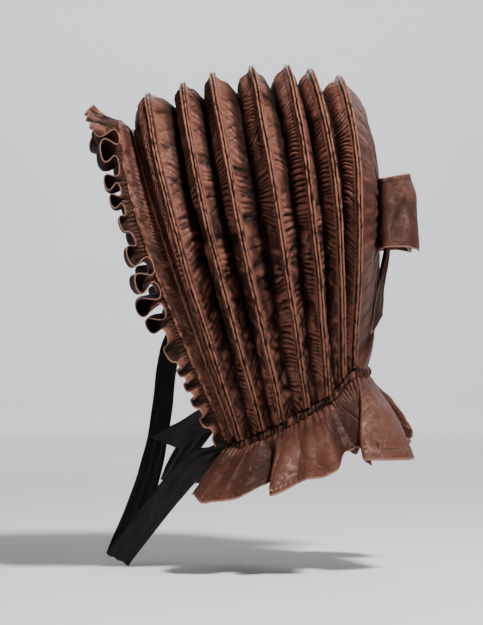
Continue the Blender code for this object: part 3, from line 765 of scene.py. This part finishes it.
def outward_in_plan(line):
    step = np.gradient(line, axis=0)
    return unit(np.stack([step[:, 1], -step[:, 0], np.zeros(len(line))], axis=1))


last = arches[-1]
crown, foot = last.points[ALONG // 2], last.points[0]
back_x = last.points[:, 0].max() + CASING_WIDTH / 2 + BACK_BULGE
back_centre = np.array([back_x, 0.0, crown[2] + (foot[2] - crown[2]) * BOW_LEVEL])
rim_arch = last.casing()[1] - last.across * RIM_TUCK
turn = np.linspace(0.0, math.pi, 60)[1:-1]
nape_rim = np.stack(
    [
        foot[0] + CASING_WIDTH / 2 + NAPE_BULGE * np.sin(turn),
        rim_arch[-1, 1] * np.cos(turn),
        np.full(len(turn), foot[2] - TUCK),
    ],
    axis=1,
)
rim = spaced(np.concatenate([rim_arch, nape_rim, rim_arch[:1]]), 421)
out = np.linspace(0.0, 1.0, 44)[:, None] ** 0.9
around = np.linspace(0.0, 1.0, len(rim))[None, :]
bulge = np.interp(out[:, 0], (0.0, 0.28, 0.58, 0.84, 1.0), (1.0, 0.96, 0.82, 0.55, 0.0))[:, None]
bulge = np.convolve(np.pad(bulge[:, 0], 2, mode="edge"), np.ones(5) / 5, mode="valid")[:, None]
bulge[0], bulge[-1] = 1.0, 0.0
swing = around + 0.004 * np.sin(out * 9.0 + around * 40.0) * (1.0 - out)
seamless = (around < 0.999) * (around > 0.001)  # the last column meets the first
pleats = np.cos(2 * math.pi * BACK_PLEATS * swing + 1.5 * wander(around * 17.0, out * 2.0, 21) * seamless)
hills = np.cos(math.pi * BACK_PLEATS * swing + 2.0)
strength = ease(0.02, 0.22, out) * (1.0 - 0.88 * ease(0.30, 0.74, out)) * fading(0.93, 1.0, out)
rays = strength * (0.0020 * pleats + 0.0016 * hills * ease(0.2, 0.6, out))
crinkles = np.abs(wander(around * 260.0 * (around < 0.999), out * 9.0, 23)) - 0.4
rays = rays + 0.0011 * crinkles * ease(0.45, 0.7, out) * fading(0.92, 1.0, out)
back_points = back_centre + (rim - back_centre)[None] * out[..., None]
back_points[..., 0] = rim[None, :, 0] + (back_centre[0] - rim[None, :, 0]) * bulge + rays
back_points[:, -1] = back_points[:, 0]
shade = clamped(0.35 - rays / 0.005)
back = cloth_piece(
    "gathered_back", back_points, hood_silk, shade, node="back_panel", wall=SILK_WALL, offset=1.0, joined=True
)

# %% [markdown]
# ## The frill round the face
# A band of silk, gathered along the brim, stands out round the face. Its gathers are
# tight at the seam and open outwards into folds that lean over, like the letter S seen
# from the front. A sine alone gives even waves, so the wave's pace and height wander, and
# a second wave at twice the pace moves the cloth sideways, so that the folds overhang.

# %% Brim frill
FRILL_WIDTH, FRILL_WAVE, FRILL_DROOP, FRILL_SEAT = 0.038, 0.0092, 0.38, 0.0008
FRILL_TABLE = (
    # share of the way from crown to neck, and of the full width
    (0.00, 1.00), (0.12, 1.02), (0.27, 0.80), (0.42, 0.86),
    (0.50, 0.90), (0.62, 0.60), (0.80, 0.46), (1.00, 0.42),
)
CROWN_WAVE, NECK_WAVE, MEAN_WAVE = 0.034, 0.021, 0.0265  # lengths of one fold along the brim

edge = arches[0]
count = 1401
root = resampled(edge.points + edge.across * FRILL_SEAT, count)[None]
across, outward, along = (
    unit(resampled(values, count))[None] for values in (edge.across, edge.outward, edge.along)
)
share = resampled(edge.share[:, None], count)[:, 0]
run = np.linspace(0.0, edge.length, count)[None, :]
width = FRILL_WIDTH * eased_between(share, *zip(*FRILL_TABLE))[None, :]
brow = 1.0 - ease(0.05, 0.40, share)[None, :]
heading = unit(np.array([0.0, 0.0, -FRILL_DROOP]) * brow[..., None] - across)
out = np.linspace(0.0, 1.0, 24)[:, None]

# The folds are broad near the crown and close up towards the neck.
wave_length = CROWN_WAVE - (CROWN_WAVE - NECK_WAVE) * ease(0.15, 0.55, share)
steps = np.concatenate([[0.0], np.diff(run[0]) / wave_length[1:]])
pace = np.cumsum(steps)[None, :]
pace = pace + 0.66 * wander(run / 0.05, 0.0, 31) + 0.08 * out * wander(run / 0.02, 1.0, 32)
phase = 2 * math.pi * pace
fade = ease(0.0, 0.03, np.minimum(run, edge.length - run)) * (0.18 + 0.82 * ease(0.03, 0.09, share))
size = FRILL_WAVE * (0.95 + 0.6 * wander(run / 0.04, 0.0, 33)) * fade * ease(0.0, 0.70, out)
size = size * np.clip(width / 0.026, 0.45, 1.0)
lean = -0.55 * size * np.sin(2 * phase) * (wave_length / MEAN_WAVE)
gathers = 0.0007 * puffs(run / 0.0040 + 0.5 * wander(run / 0.02, out, 34))
gathers = gathers * fading(0.08, 0.60, out) * ease(0.0, 0.10, out)
puckers = 0.0026 * np.sin(2 * math.pi * (run / 0.0135 + 0.4 * wander(run / 0.03, 0.0, 38)))
puckers = puckers * fading(0.02, 0.08, share) * ease(0.2, 1.0, out)
streaks = pinched(run / 0.030 - 1.4 * out, out * 0.8, 36, 6.0) - 0.4
slants = puckers + 0.0016 * brow * streaks * ease(0.1, 0.5, out)

# The band curls over: its slope grows from nothing at the seam to curl at the hem, and
# the folds stand square to it, so their hems draw loops that show from the side.
curl = 0.30 + 1.00 * ease(0.04, 0.13, share)[None, :] - 0.30 * ease(0.45, 0.75, share)[None, :]
curl = curl + 0.75 * fade * wander(run / 0.048, 0.0, 37)
reach = width * np.sin(curl * out) / curl * (1.0 + 0.05 * wander(run / 0.03, 0.0, 35))
rise = width * (1.0 - np.cos(curl * out)) / curl
hem_ridge = 0.0005 * fading(0.0045, 0.0060, width * (1.0 - out))
stand = size * np.sin(phase) + gathers + slants + hem_ridge
forward = (reach - stand * np.sin(curl * out))[..., None]
upward = (rise + stand * np.cos(curl * out))[..., None]
frill_points = root + heading * forward + outward * upward + along * lean[..., None]
frill_uv = np.stack(np.broadcast_arrays(run, width * (1.0 - out)), axis=2)
shade = 0.42 - 0.45 * np.sin(phase) * ease(0.1, 0.7, out) - (gathers + slants) / 0.0022 + 0.25 * (1 - out)
frill = cloth_piece(
    "face_frill", frill_points, hemmed_silk, clamped(shade), frill_uv, node="brim_frill", wall=0.0008
)

# The seam between frill and brim is covered by a narrow roll of silk.
seam_count = 620
seam_line, across, outward = (
    resampled(values, seam_count) for values in (edge.points, edge.across, edge.outward)
)
turn = np.linspace(0.0, 2 * math.pi, 13)[None, :]
run = np.linspace(0.0, edge.length, seam_count)[:, None]
pucker = 0.00030 * wander(run / 0.0024, turn * 0.8, 51) + 0.00020 * wander(run / 0.007, 0.0, 52)
seam_side = (0.0015 + pucker) * np.cos(turn) + 0.0006 + 0.0004 * wander(run / 0.03, 0.0, 53)
seam_up = (0.0010 + pucker) * np.sin(turn) + 0.0006
seam_points = swept(seam_line, (unit(across), seam_side), (unit(outward), seam_up))
seam_points[:, -1] = seam_points[:, 0]
cloth_piece("brim_seam", seam_points, casing_silk, clamped(0.3 - pucker / 0.0009), capped=True)

# %% [markdown]
# ## The drawn neck
# The lower edge of the hood is drawn up on a tape in a narrow casing. The tape pulls the
# silk into tight upright gathers, so the casing is a soft tube with deep cross creases.

# %% Neck casing
BAND_WIDTH, BAND_HEIGHT = 0.0105, 0.0085

line = neck_line(900)
outward = outward_in_plan(line)
run = lengths(line[:, None], 0)
turn = np.linspace(0.0, 2 * math.pi, 25)[None, :]
lift = np.sin(turn)
pleat = 0.0008 * puffs(run / 0.0052 + 1.6 * wander(run / 0.020, 0.0, 61) + 0.10 * lift)
pleat = pleat + 0.0011 * wander(run / 0.0060, lift * 1.4, 62)
pleat = pleat - 0.0012 * pinched(run / 0.009, lift * 0.5, 64, 9.0)
side = (BAND_WIDTH / 2 - 0.0008 + pleat) * np.sign(np.cos(turn)) * np.abs(np.cos(turn)) ** 0.55
up = (BAND_HEIGHT / 2 + 0.001 + 0.3 * pleat) * lift - HEM_SEAT - BAND_HEIGHT / 2
up = up + 0.0010 * wander(run / 0.02, 0.0, 63)
band_points = swept(line, (outward, side), (np.array([[0.0, 0.0, 1.0]]), up))
band_points[:, -1] = band_points[:, 0]
shade = clamped(0.70 - pleat / 0.0030)
cloth_piece("neck_casing", band_points, hood_silk, shade, node="neck_band", capped=True)

# %% [markdown]
# ## The shoulder ruffle
# Below the neck hangs a ruffle cut nearly twice as long as the neckline. It leaves the
# tape in fine gathers and falls into a few deep folds, each placed after the photograph
# by a row of the table, and its hem is turned up and stitched.

# %% Shoulder ruffle
CURTAIN_WIDTH = 0.092
CURTAIN_TABLE = (
    # share of the neckline, then how far the hem lies outwards, down and forwards
    (0.000, 0.30, 0.50, 0.33), (0.040, 0.62, 0.56, 0.26), (0.080, 0.68, 0.60, 0.14),
    (0.115, 0.34, 0.52, 0.08), (0.155, 0.70, 0.60, 0.04), (0.200, 0.62, 0.62, -0.02),
    (0.245, 0.70, 0.62, -0.06), (0.285, 0.34, 0.52, -0.08), (0.325, 0.56, 0.77, -0.06),
    (0.365, 0.46, 0.86, -0.04), (0.400, 0.50, 0.92, 0.00), (0.440, 0.46, 0.68, 0.02),
    (0.485, 0.36, 0.52, 0.02), (0.530, 0.42, 0.60, 0.00), (0.575, 0.44, 0.74, 0.00),
    (0.625, 0.44, 0.86, -0.02), (0.680, 0.66, 0.68, -0.06), (0.720, 0.34, 0.54, -0.08),
    (0.765, 0.68, 0.63, -0.05), (0.815, 0.64, 0.60, 0.00), (0.860, 0.36, 0.52, 0.06),
    (0.905, 0.68, 0.60, 0.14), (0.955, 0.60, 0.56, 0.26), (1.000, 0.30, 0.50, 0.33),
)
CURTAIN_ROWS = 44

line = neck_line(620)
outward = outward_in_plan(line)[None]
share = np.linspace(0.0, 1.0, len(line))
at, *hem_columns = (np.array(column) for column in zip(*CURTAIN_TABLE))
hem_out, hem_down, hem_forward = (
    eased_between(share, at, column)[None, :] * CURTAIN_WIDTH for column in hem_columns
)
fall = np.linspace(0.0, 1.0, CURTAIN_ROWS)[:, None]
run = lengths(line[:, None], 0)[:, 0][None, :]
gathers = puffs(run / 0.0050 + 1.4 * wander(run / 0.020, 0.0, 71)) + wander(run / 0.006, fall * 9.0, 70)
gathers = 0.0012 * gathers * fading(0.04, 0.26, fall)
pleat_pace = run / 0.033 + 0.60 * wander(run / 0.05, 0.0, 74)
crisp = puffs(pleat_pace) * ease(0.03, 0.80, fall) * (0.7 + 0.3 * wander(run / 0.05, 2.0, 76))
straight = pinched(run / 0.020 + 0.5 * fall, fall * 0.5, 77, 12.0)
straight = straight - 0.8 * pinched(run / 0.023 - 0.7 * fall, fall * 0.6, 78, 12.0)
folds = np.abs(wander(run / 0.024 + fall, fall * 2.6, 72)) * 0.0040 * ease(0.15, 0.5, fall)
soft = 0.0045 * crisp + 0.0022 * straight * ease(0.06, 0.3, fall) + folds

# Here and there the cloth doubles over itself: it slides back under a fold that lies on top.
total = run[0, -1]
OVERLAPS = (
    # place along the neckline, and how far the cloth slides under there
    (0.062, 0.036), (0.150, 0.020), (total / 2 + 0.012, 0.016),
    (total - 0.150, -0.022), (total - 0.066, -0.034),
)
lean, over, tucked_up = 0.0, 0.0, 0.0
for place, slide in OVERLAPS:
    near = (run - place) / 0.013
    lean = lean - slide * near * np.exp(-(near**2) / 2.0) * ease(0.05, 0.9, fall)
    above = 0.0075 * np.sign(slide) * np.tanh(near * 1.2) * np.exp(-(near**2) / 7.0)
    over = over + above * ease(0.05, 0.5, fall)
    tucked_up = tucked_up + 0.09 * np.exp(-(((near * np.sign(slide) + 0.45) / 0.40) ** 2))
soft = soft + over
hem_gap = (1.0 - fall) * CURTAIN_WIDTH * 0.72
hem_pucker = 0.0004 * np.sin(2 * math.pi * run / 0.0026) * fading(0.006, 0.010, hem_gap)
hem_ridge = 0.0007 * fading(0.0070, 0.0085, hem_gap) + hem_pucker
top = line - np.array([0.0, 0.0, BAND_HEIGHT])
along = unit(np.gradient(line, axis=0))[None]
sideways = hem_out * fall**0.85 + gathers + soft + hem_ridge
down = hem_down * (1.0 - tucked_up) * fall**1.1 + 0.04 * BAND_HEIGHT
curtain_points = top[None] + outward * sideways[..., None] + along * lean[..., None]
curtain_points[..., 2] -= down
curtain_points[..., 0] -= hem_forward * fall
curtain_uv = np.stack(np.broadcast_arrays(run * 1.7, hem_gap), axis=2)
hill = (hem_out - hem_out.mean()) / (np.ptp(hem_out) / 2)
shade = clamped(0.42 - 0.20 * hill * fall - gathers / 0.003 - soft / 0.014)
curtain = cloth_piece(
    "shoulder_ruffle", curtain_points, ruffle_silk, shade, curtain_uv, node="neck_curtain", wall=0.0009
)

# %% [markdown]
# ## The bow
# The bow on the back is one broad band of silk with a stitched hem along both edges.
# Each loop leaves the knot folded small, opens to its full width, turns and comes back.
# Its lower edge reaches further than its upper one, so the opening tilts down. The
# creases start at the knot and fade out along the band.

# %% Bow loops
BOW_SPAN, BOW_WIDTH, BOW_DEPTH, BOW_LEAN = 0.170, 0.079, 0.040, 0.18
BOW_TAIL, BOW_TAIL_WIDTH = 0.116, 0.042
KNOT_WIDTH, KNOT_HEIGHT, KNOT_DEPTH = 0.030, 0.028, 0.016
LOOP_TABLE = (
    # share of the loop's reach, of its depth and of its width
    (0.00, 0.18, 0.34), (0.18, 0.04, 0.62), (0.50, -0.03, 0.94), (0.80, -0.03, 1.00),
    (0.97, 0.06, 1.00), (1.00, 0.40, 1.00), (0.99, 0.70, 1.00), (0.975, 0.76, 1.00),
    (0.78, 0.99, 1.00), (0.45, 0.98, 0.92), (0.16, 0.72, 0.60), (0.00, 0.52, 0.34),
)

CAD_WALL, BOW_WALL = 0.0017, 0.0008
knot_front = back_centre[0] + CAD_WALL + SEAT + 0.0003
knot_middle = np.array([knot_front + KNOT_DEPTH / 2, 0.0, back_centre[2]])
reach = (BOW_SPAN - KNOT_WIDTH) / 2 - SEAT


def make_loop(name, node, side, seed):
    t, depth, width = (column[:, None] for column in smooth_line(LOOP_TABLE, 150).T)
    across = np.linspace(-1.0, 1.0, 58)[None, :]
    walk = np.linspace(0.0, 1.0, len(t))[:, None]
    near_knot = 1.0 - ease(0.05, 0.75, t)
    inner = np.where(walk < 0.5, -1.0, 1.0)
    rays = 0.0016 * np.cos(across * 13.0 + seed) + 0.0009 * np.cos(across * 29.0 + 2.0 * seed)
    rays = near_knot * rays * ease(0.0, 0.10, t)
    soft = 0.0013 * wander(walk * 7.0, across * 2.2, seed)
    soft = soft + 0.0006 * wander(walk * 17.0, across * 4.0, seed + 1)
    crease = 0.0013 * np.exp(-(((across + 0.15 - 5.5 * (walk - 0.46)) / 0.10) ** 2))
    crease = crease * ease(0.40, 0.44, walk) * fading(0.52, 0.58, walk)
    gap = (1.0 - np.abs(across)) * BOW_WIDTH / 2
    hem = 0.0005 * fading(0.0045, 0.0062, gap)
    lift = (rays + soft * ease(0.0, 0.2, t)) - crease + hem
    full = 1.0 - 0.12 * across - 0.12 * across**2
    x = knot_front + KNOT_DEPTH * 0.1 - 0.004 * t + 0.90 * BOW_DEPTH * full * depth
    x = x + lift * inner * fading(0.80, 0.97, t)
    y = KNOT_WIDTH / 2 + SEAT + reach * (t - BOW_LEAN * across * t) + lift * ease(0.80, 0.97, t) - 0.0004
    z = back_centre[2] + BOW_WIDTH / 2 * across * width + 0.0012 * wander(walk * 5.0, 0.0, seed + 2)
    z = z + 0.20 * (x - knot_front) * ease(0.0, 0.3, t) * (0.55 + 0.45 * across)
    z = z + 0.0040 * t**2 * (1.0 - across)
    points = np.stack(np.broadcast_arrays(x, side * y, z), axis=2)
    uv = np.stack(np.broadcast_arrays(walk * 0.19, gap), axis=2)
    shade = clamped(0.30 - lift / 0.006 + 0.35 * near_knot)
    if side > 0:
        points, uv, shade = points[:, ::-1], uv[:, ::-1], shade[:, ::-1]
    return cloth_piece(name, points, bow_silk, shade, uv, node=node, wall=BOW_WALL, offset=0.0)


near_loop = make_loop("near_loop", "bow_loop_near", -1.0, 81)
far_loop = make_loop("far_loop", "bow_loop_far", 1.0, 91)

# %% Bow tails
# Share of the tail's length, of its width, and how far it bends off the back.
TAIL_TABLE = ((0.00, 0.42, 0.00), (0.25, 0.62, 0.35), (0.60, 1.00, 0.10), (1.00, 0.92, -1.00))


def make_tail(name, node, side, seed):
    t, width, bend = (column[:, None] for column in smooth_line(TAIL_TABLE, 90).T)
    across = np.linspace(-1.0, 1.0, 30)[None, :]
    drop = BOW_TAIL - KNOT_HEIGHT / 2
    slant = 0.16 * across * side * ease(0.82, 1.0, t)
    folds = 0.0014 * np.cos(across * 7.0 + seed) * fading(0.1, 0.8, t)
    folds = folds + 0.0008 * wander(t * 8.0, across * 2.0, seed)
    gap = (1.0 - np.abs(across)) * BOW_TAIL_WIDTH * 0.36
    turn = 0.2 * bend - 0.42 * across * side * t
    x = knot_middle[0] - 0.0095 * ease(0.0, 0.8, t) + KNOT_DEPTH * turn + folds
    y = side * (KNOT_WIDTH * 0.24 + BOW_TAIL_WIDTH * 0.72 * t)
    y = y + BOW_TAIL_WIDTH * 0.34 * across * width * (0.3 + 0.7 * t)
    z = knot_middle[2] - KNOT_HEIGHT / 2 - SEAT * 2 - drop * (0.94 * t + 0.6 * slant)
    points = np.stack(np.broadcast_arrays(x, y, z), axis=2)
    uv = np.stack(np.broadcast_arrays(t * drop, np.minimum(gap, (1.0 - t) * drop)), axis=2)
    shade = clamped(0.35 - folds / 0.005)
    return cloth_piece(name, points, bow_silk, shade, uv, node=node, wall=BOW_WALL, offset=0.0)


near_tail = make_tail("near_tail", "bow_tail_near", -1.0, 101)
far_tail = make_tail("far_tail", "bow_tail_far", 1.0, 111)

# %% [markdown]
# ## The knot
# A short band wraps the middle of the bow. It is a ball drawn out to a soft block, and
# its surface sinks along four lines, because the band was pulled tight and pleated.

# %% Bow knot
bm = bmesh.new()
bmesh.ops.create_uvsphere(bm, u_segments=72, v_segments=48, radius=1.0)
for vertex in bm.verts:
    x, y, z = vertex.co
    square = (abs(x) ** 3.2 + abs(y) ** 3.2 + abs(z) ** 3.2) ** (-1 / 3.2)
    pleat = 0.055 * math.cos(11.0 * y + 1.4 * math.sin(2.2 * z)) + 0.03 * math.cos(23.0 * y + 2.0 * z)
    size = square * (1.0 + pleat * min(1.0, 1.6 * (1.0 - abs(y))) - 0.07 * (1.0 - min(1.0, abs(z) * 2.0)))
    inside = Vector((x * KNOT_DEPTH / 2, y * KNOT_WIDTH / 2, z * KNOT_HEIGHT / 2))
    vertex.co = inside * size + Vector(knot_middle)
knot_mesh = bpy.data.meshes.new("pleated_knot")
bm.to_mesh(knot_mesh)
bm.free()
knot_shade = knot_mesh.attributes.new("fold", "FLOAT", "POINT")
knot_shade.data.foreach_set("value", [0.35] * len(knot_mesh.vertices))
placed("pleated_knot", knot_mesh, casing_silk, "bow_knot")

# %% [markdown]
# ## The black ribbons
# A long ribbon, the bridle, is sewn to both sides of the brim and hangs in a loop under
# the chin: the wearer held it to keep the hood forward in the wind. Two shorter ribbons
# tie under the chin. They are thin silk, so they get a few lengthwise pleats where they
# were crushed, and light comes through them a little.

# %% Ribbons
RIBBON_WIDTH, RIBBON_GAP = 0.027, 0.0005
BRIDLE_STEP, TIE_STEP = 5.2, 0.95
BRIDLE_ROUTE = (
    # place, then the way in which the width lies
    ((-0.0460, -0.0480, -0.3110), (0.84, -0.08, -0.54)), ((-0.0780, -0.0340, -0.3460), (0.82, -0.04, -0.57)),
    ((-0.1080, -0.0180, -0.3840), (0.85, 0.00, -0.53)), ((-0.1300, -0.0060, -0.4130), (0.89, 0.00, -0.46)),
    ((-0.1320, 0.0010, -0.4170), (0.90, 0.00, -0.44)), ((-0.1290, 0.0080, -0.4080), (0.91, 0.10, -0.40)),
    ((-0.1120, 0.0220, -0.3660), (0.92, 0.30, -0.24)), ((-0.0970, 0.0400, -0.3160), (0.84, 0.52, -0.12)),
    ((-0.0880, 0.0580, -0.2620), (0.80, 0.60, -0.02)), ((-0.0830, 0.0780, -0.2160), (0.82, 0.52, 0.10)),
    ((-0.0740, 0.0920, -0.1840), (0.88, 0.30, 0.20)),
)
NEAR_TIE_ROUTE = (
    ((-0.0470, -0.0530, -0.2740), (0.20, 0.10, -0.95)), ((-0.0660, -0.0430, -0.2850), (0.00, 0.00, -0.99)),
    ((-0.0850, -0.0360, -0.2960), (0.50, 0.00, -0.86)),
)
FAR_TIE_ROUTE = (
    ((-0.0470, 0.0500, -0.2860), (0.45, 0.20, -0.85)), ((-0.0660, 0.0220, -0.3120), (0.50, 0.60, -0.60)),
    ((-0.0820, 0.0000, -0.3380), (0.40, 0.80, -0.35)),
)


def read_at(step, side):
    """A reader of an arch's rows, so many of the CAD's 26 steps up from a foot."""
    index = (step if side < 0 else 26 - step) / 26 * (ALONG - 1)
    return lambda values: np.array([np.interp(index, np.arange(len(values)), column) for column in values.T])


def brim_place(side, back):
    read = read_at(TIE_STEP, side)
    chord = read(arches[0].points + (arches[1].casing()[0] - arches[0].points) * back)
    return chord - read(arches[0].outward) * (CAD_WALL + SEAT + RIBBON_GAP), read(arches[0].along) * side


def cane_place(side, step, lift):
    read, cane = read_at(step, side), arches[1]
    depth = 2 * cane.radius + SEAT + CAD_WALL + SEAT + RIBBON_GAP + lift
    return read(cane.points) - read(cane.outward) * depth, read(cane.across)


def band_place(back, drop):
    line = neck_line(400)
    ahead, inward = unit(line[1] - line[0]), -outward_in_plan(line)[0]
    place = line[0] + ahead * back + inward * (BAND_WIDTH / 2 + SEAT + RIBBON_GAP)
    return place - np.array([0.0, 0.0, HEM_SEAT + drop]), unit(ahead * 0.85 - np.array([0.0, 0.0, 0.53]))


def make_ribbon(name, route, pleats, seed, node, slant=0.0):
    """A ribbon along its route, with pleats so deep, and its end cut off slantwise."""
    rough = smooth_line([[*place, *turn] for place, turn in route], 60)
    length = np.linalg.norm(np.diff(rough[:, :3], axis=0), axis=1).sum()
    line = smooth_line([[*place, *turn] for place, turn in route], int(length / 0.0016))
    middle, turn = line[:, :3], unit(line[:, 3:])
    face = unit(np.cross(np.gradient(middle, axis=0), turn))
    across = np.linspace(-1.0, 1.0, 25)[None, :]
    run = np.linspace(0.0, length, len(line))[:, None]
    ends = ease(0.0, 0.02, np.minimum(run, length - run))
    lift = ends * (
        pleats * 0.0011 * np.cos(across * 8.5 + 0.8 * wander(run / 0.05, 0.0, seed))
        + 0.0007 * wander(run / 0.020, across * 1.5, seed + 1)
        + 0.0009 * np.abs(across) ** 3 * wander(run / 0.03, np.sign(across) * 3.0, seed + 2)
    )
    points = swept(middle, (turn, across * RIBBON_WIDTH / 2), (face, lift))
    if slant:
        cut = -slant * (0.25 + across) * clamped((run / length - 0.35) / 0.65)
        points = points + unit(np.gradient(middle, axis=0))[:, None] * cut[..., None]
    uv = np.stack(np.broadcast_arrays(across * RIBBON_WIDTH / 2, run), axis=2)
    shade = clamped(0.5 - lift / 0.003)
    piece = cloth_piece(
        name, points, black_ribbon, shade, uv, node=node, wall=0.0003, offset=0.0
    )
    print(f"{name}: {length * 1000:.0f} mm long")
    return piece, length


far_end = [cane_place(1, BRIDLE_STEP + rise, lift) for rise, lift in ((-0.5, 0.003), (0.0, 0.001), (0.5, 0.0))]
near_end = [band_place(BAND_HEIGHT, BAND_HEIGHT / 2), band_place(-BAND_HEIGHT / 2, BAND_HEIGHT * 0.8)]
bridle, bridle_length = make_ribbon("bridle", [*near_end, *BRIDLE_ROUTE, *far_end], 0.55, 121, "bridle_ribbon")
near_start, far_start = ([brim_place(side, back) for back in (0.7, 0.1)] for side in (-1, 1))
near_tie, near_tie_length = make_ribbon(
    "near_ribbon", [*near_start, *NEAR_TIE_ROUTE], 0.15, 131, "near_tie", slant=0.011
)
far_tie, far_tie_length = make_ribbon("far_ribbon", [*far_start, *FAR_TIE_ROUTE], 0.7, 141, "far_tie")

# %% [markdown]
# ## The floor
# A pale sheet of paper is laid on the floor and curves up behind, so that no horizon
# shows.

# %% Floor
PAPER_FLAT, PAPER_BEND, PAPER_UP = 4.4, 1.6, 6.0  # metres along the sheet
floor_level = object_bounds()[0][2] - 0.0005
bm = bmesh.new()
bmesh.ops.create_grid(bm, x_segments=1, y_segments=72, size=1.0)
for vertex in bm.verts:
    t = (vertex.co.y + 1.0) / 2.0
    walk = t * 18.0 - 10.0
    bend = min(max((walk - PAPER_FLAT) / PAPER_BEND, 0.0), 1.0) * math.pi / 2
    flat = min(walk, PAPER_FLAT) + math.sin(bend)
    high = (1.0 - math.cos(bend)) + max(walk - PAPER_UP, 0.0)
    vertex.co = Vector((vertex.co.x * 9.0, flat, floor_level + high))
floor_mesh = bpy.data.meshes.new("studio_paper")
bm.to_mesh(floor_mesh)
bm.free()
floor_mesh.shade_smooth()
floor = bpy.data.objects.new("studio_paper", floor_mesh)
bpy.context.scene.collection.objects.link(floor)
paper = Shader("paper")
grain = paper.noise(paper.node("ShaderNodeTexCoord", {}, output="Object"), 3.0, 3.0)
paper.set(Base_Color=paper.mix(grain, colour(0.80, 0.81, 0.83), colour(0.84, 0.85, 0.87)), Roughness=0.9)
floor.data.materials.append(paper.material)
floor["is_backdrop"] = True

# %% [markdown]
# ## The area of the cloth
# The area of each sheet's mesh, without its wall, is printed. No size that a sheet was cut
# to is set here, and the photograph gives no such size. GORE_WIDTHS lists a width for
# each gore, and the casings that hold each gore are looked up, but neither is used further.
# The long side is the length that a piece is sewn to, times a fullness judged by eye, and
# the short side is set so that the flat area agrees with the area of the mesh, which is
# printed first.

# %% Sheets
def flat_area(piece):
    """Area of the mesh itself, without its wall, in square metres."""
    return sum(face.area for face in piece.data.polygons)


sheets = (*gores, back, frill, curtain, near_loop, far_loop, near_tail, far_tail, bridle, near_tie, far_tie)
for piece in sheets:
    print(f"{piece.name}: area {flat_area(piece):.4f} square metres")

GORE_WIDTHS = (0.018, 0.027, 0.050, 0.050, 0.054, 0.050, 0.046, 0.044)
for i, (piece, width) in enumerate(zip(gores, GORE_WIDTHS)):
    held_by = [arch.name + "_casing" for arch in arches[i : i + 2] if arch.radius]

# %% [markdown]
# ## The size of the result
# The box of the finished hood and the box of the CAD model are printed side by side.

# %% Size and finish
low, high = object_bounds()
sizes = {"cad": [cad_low, cad_high], "scene": [list(low), list(high)]}
for label, (start, end) in sizes.items():
    print(label, [round((b - a) * 1000) for a, b in zip(start, end)], "mm")
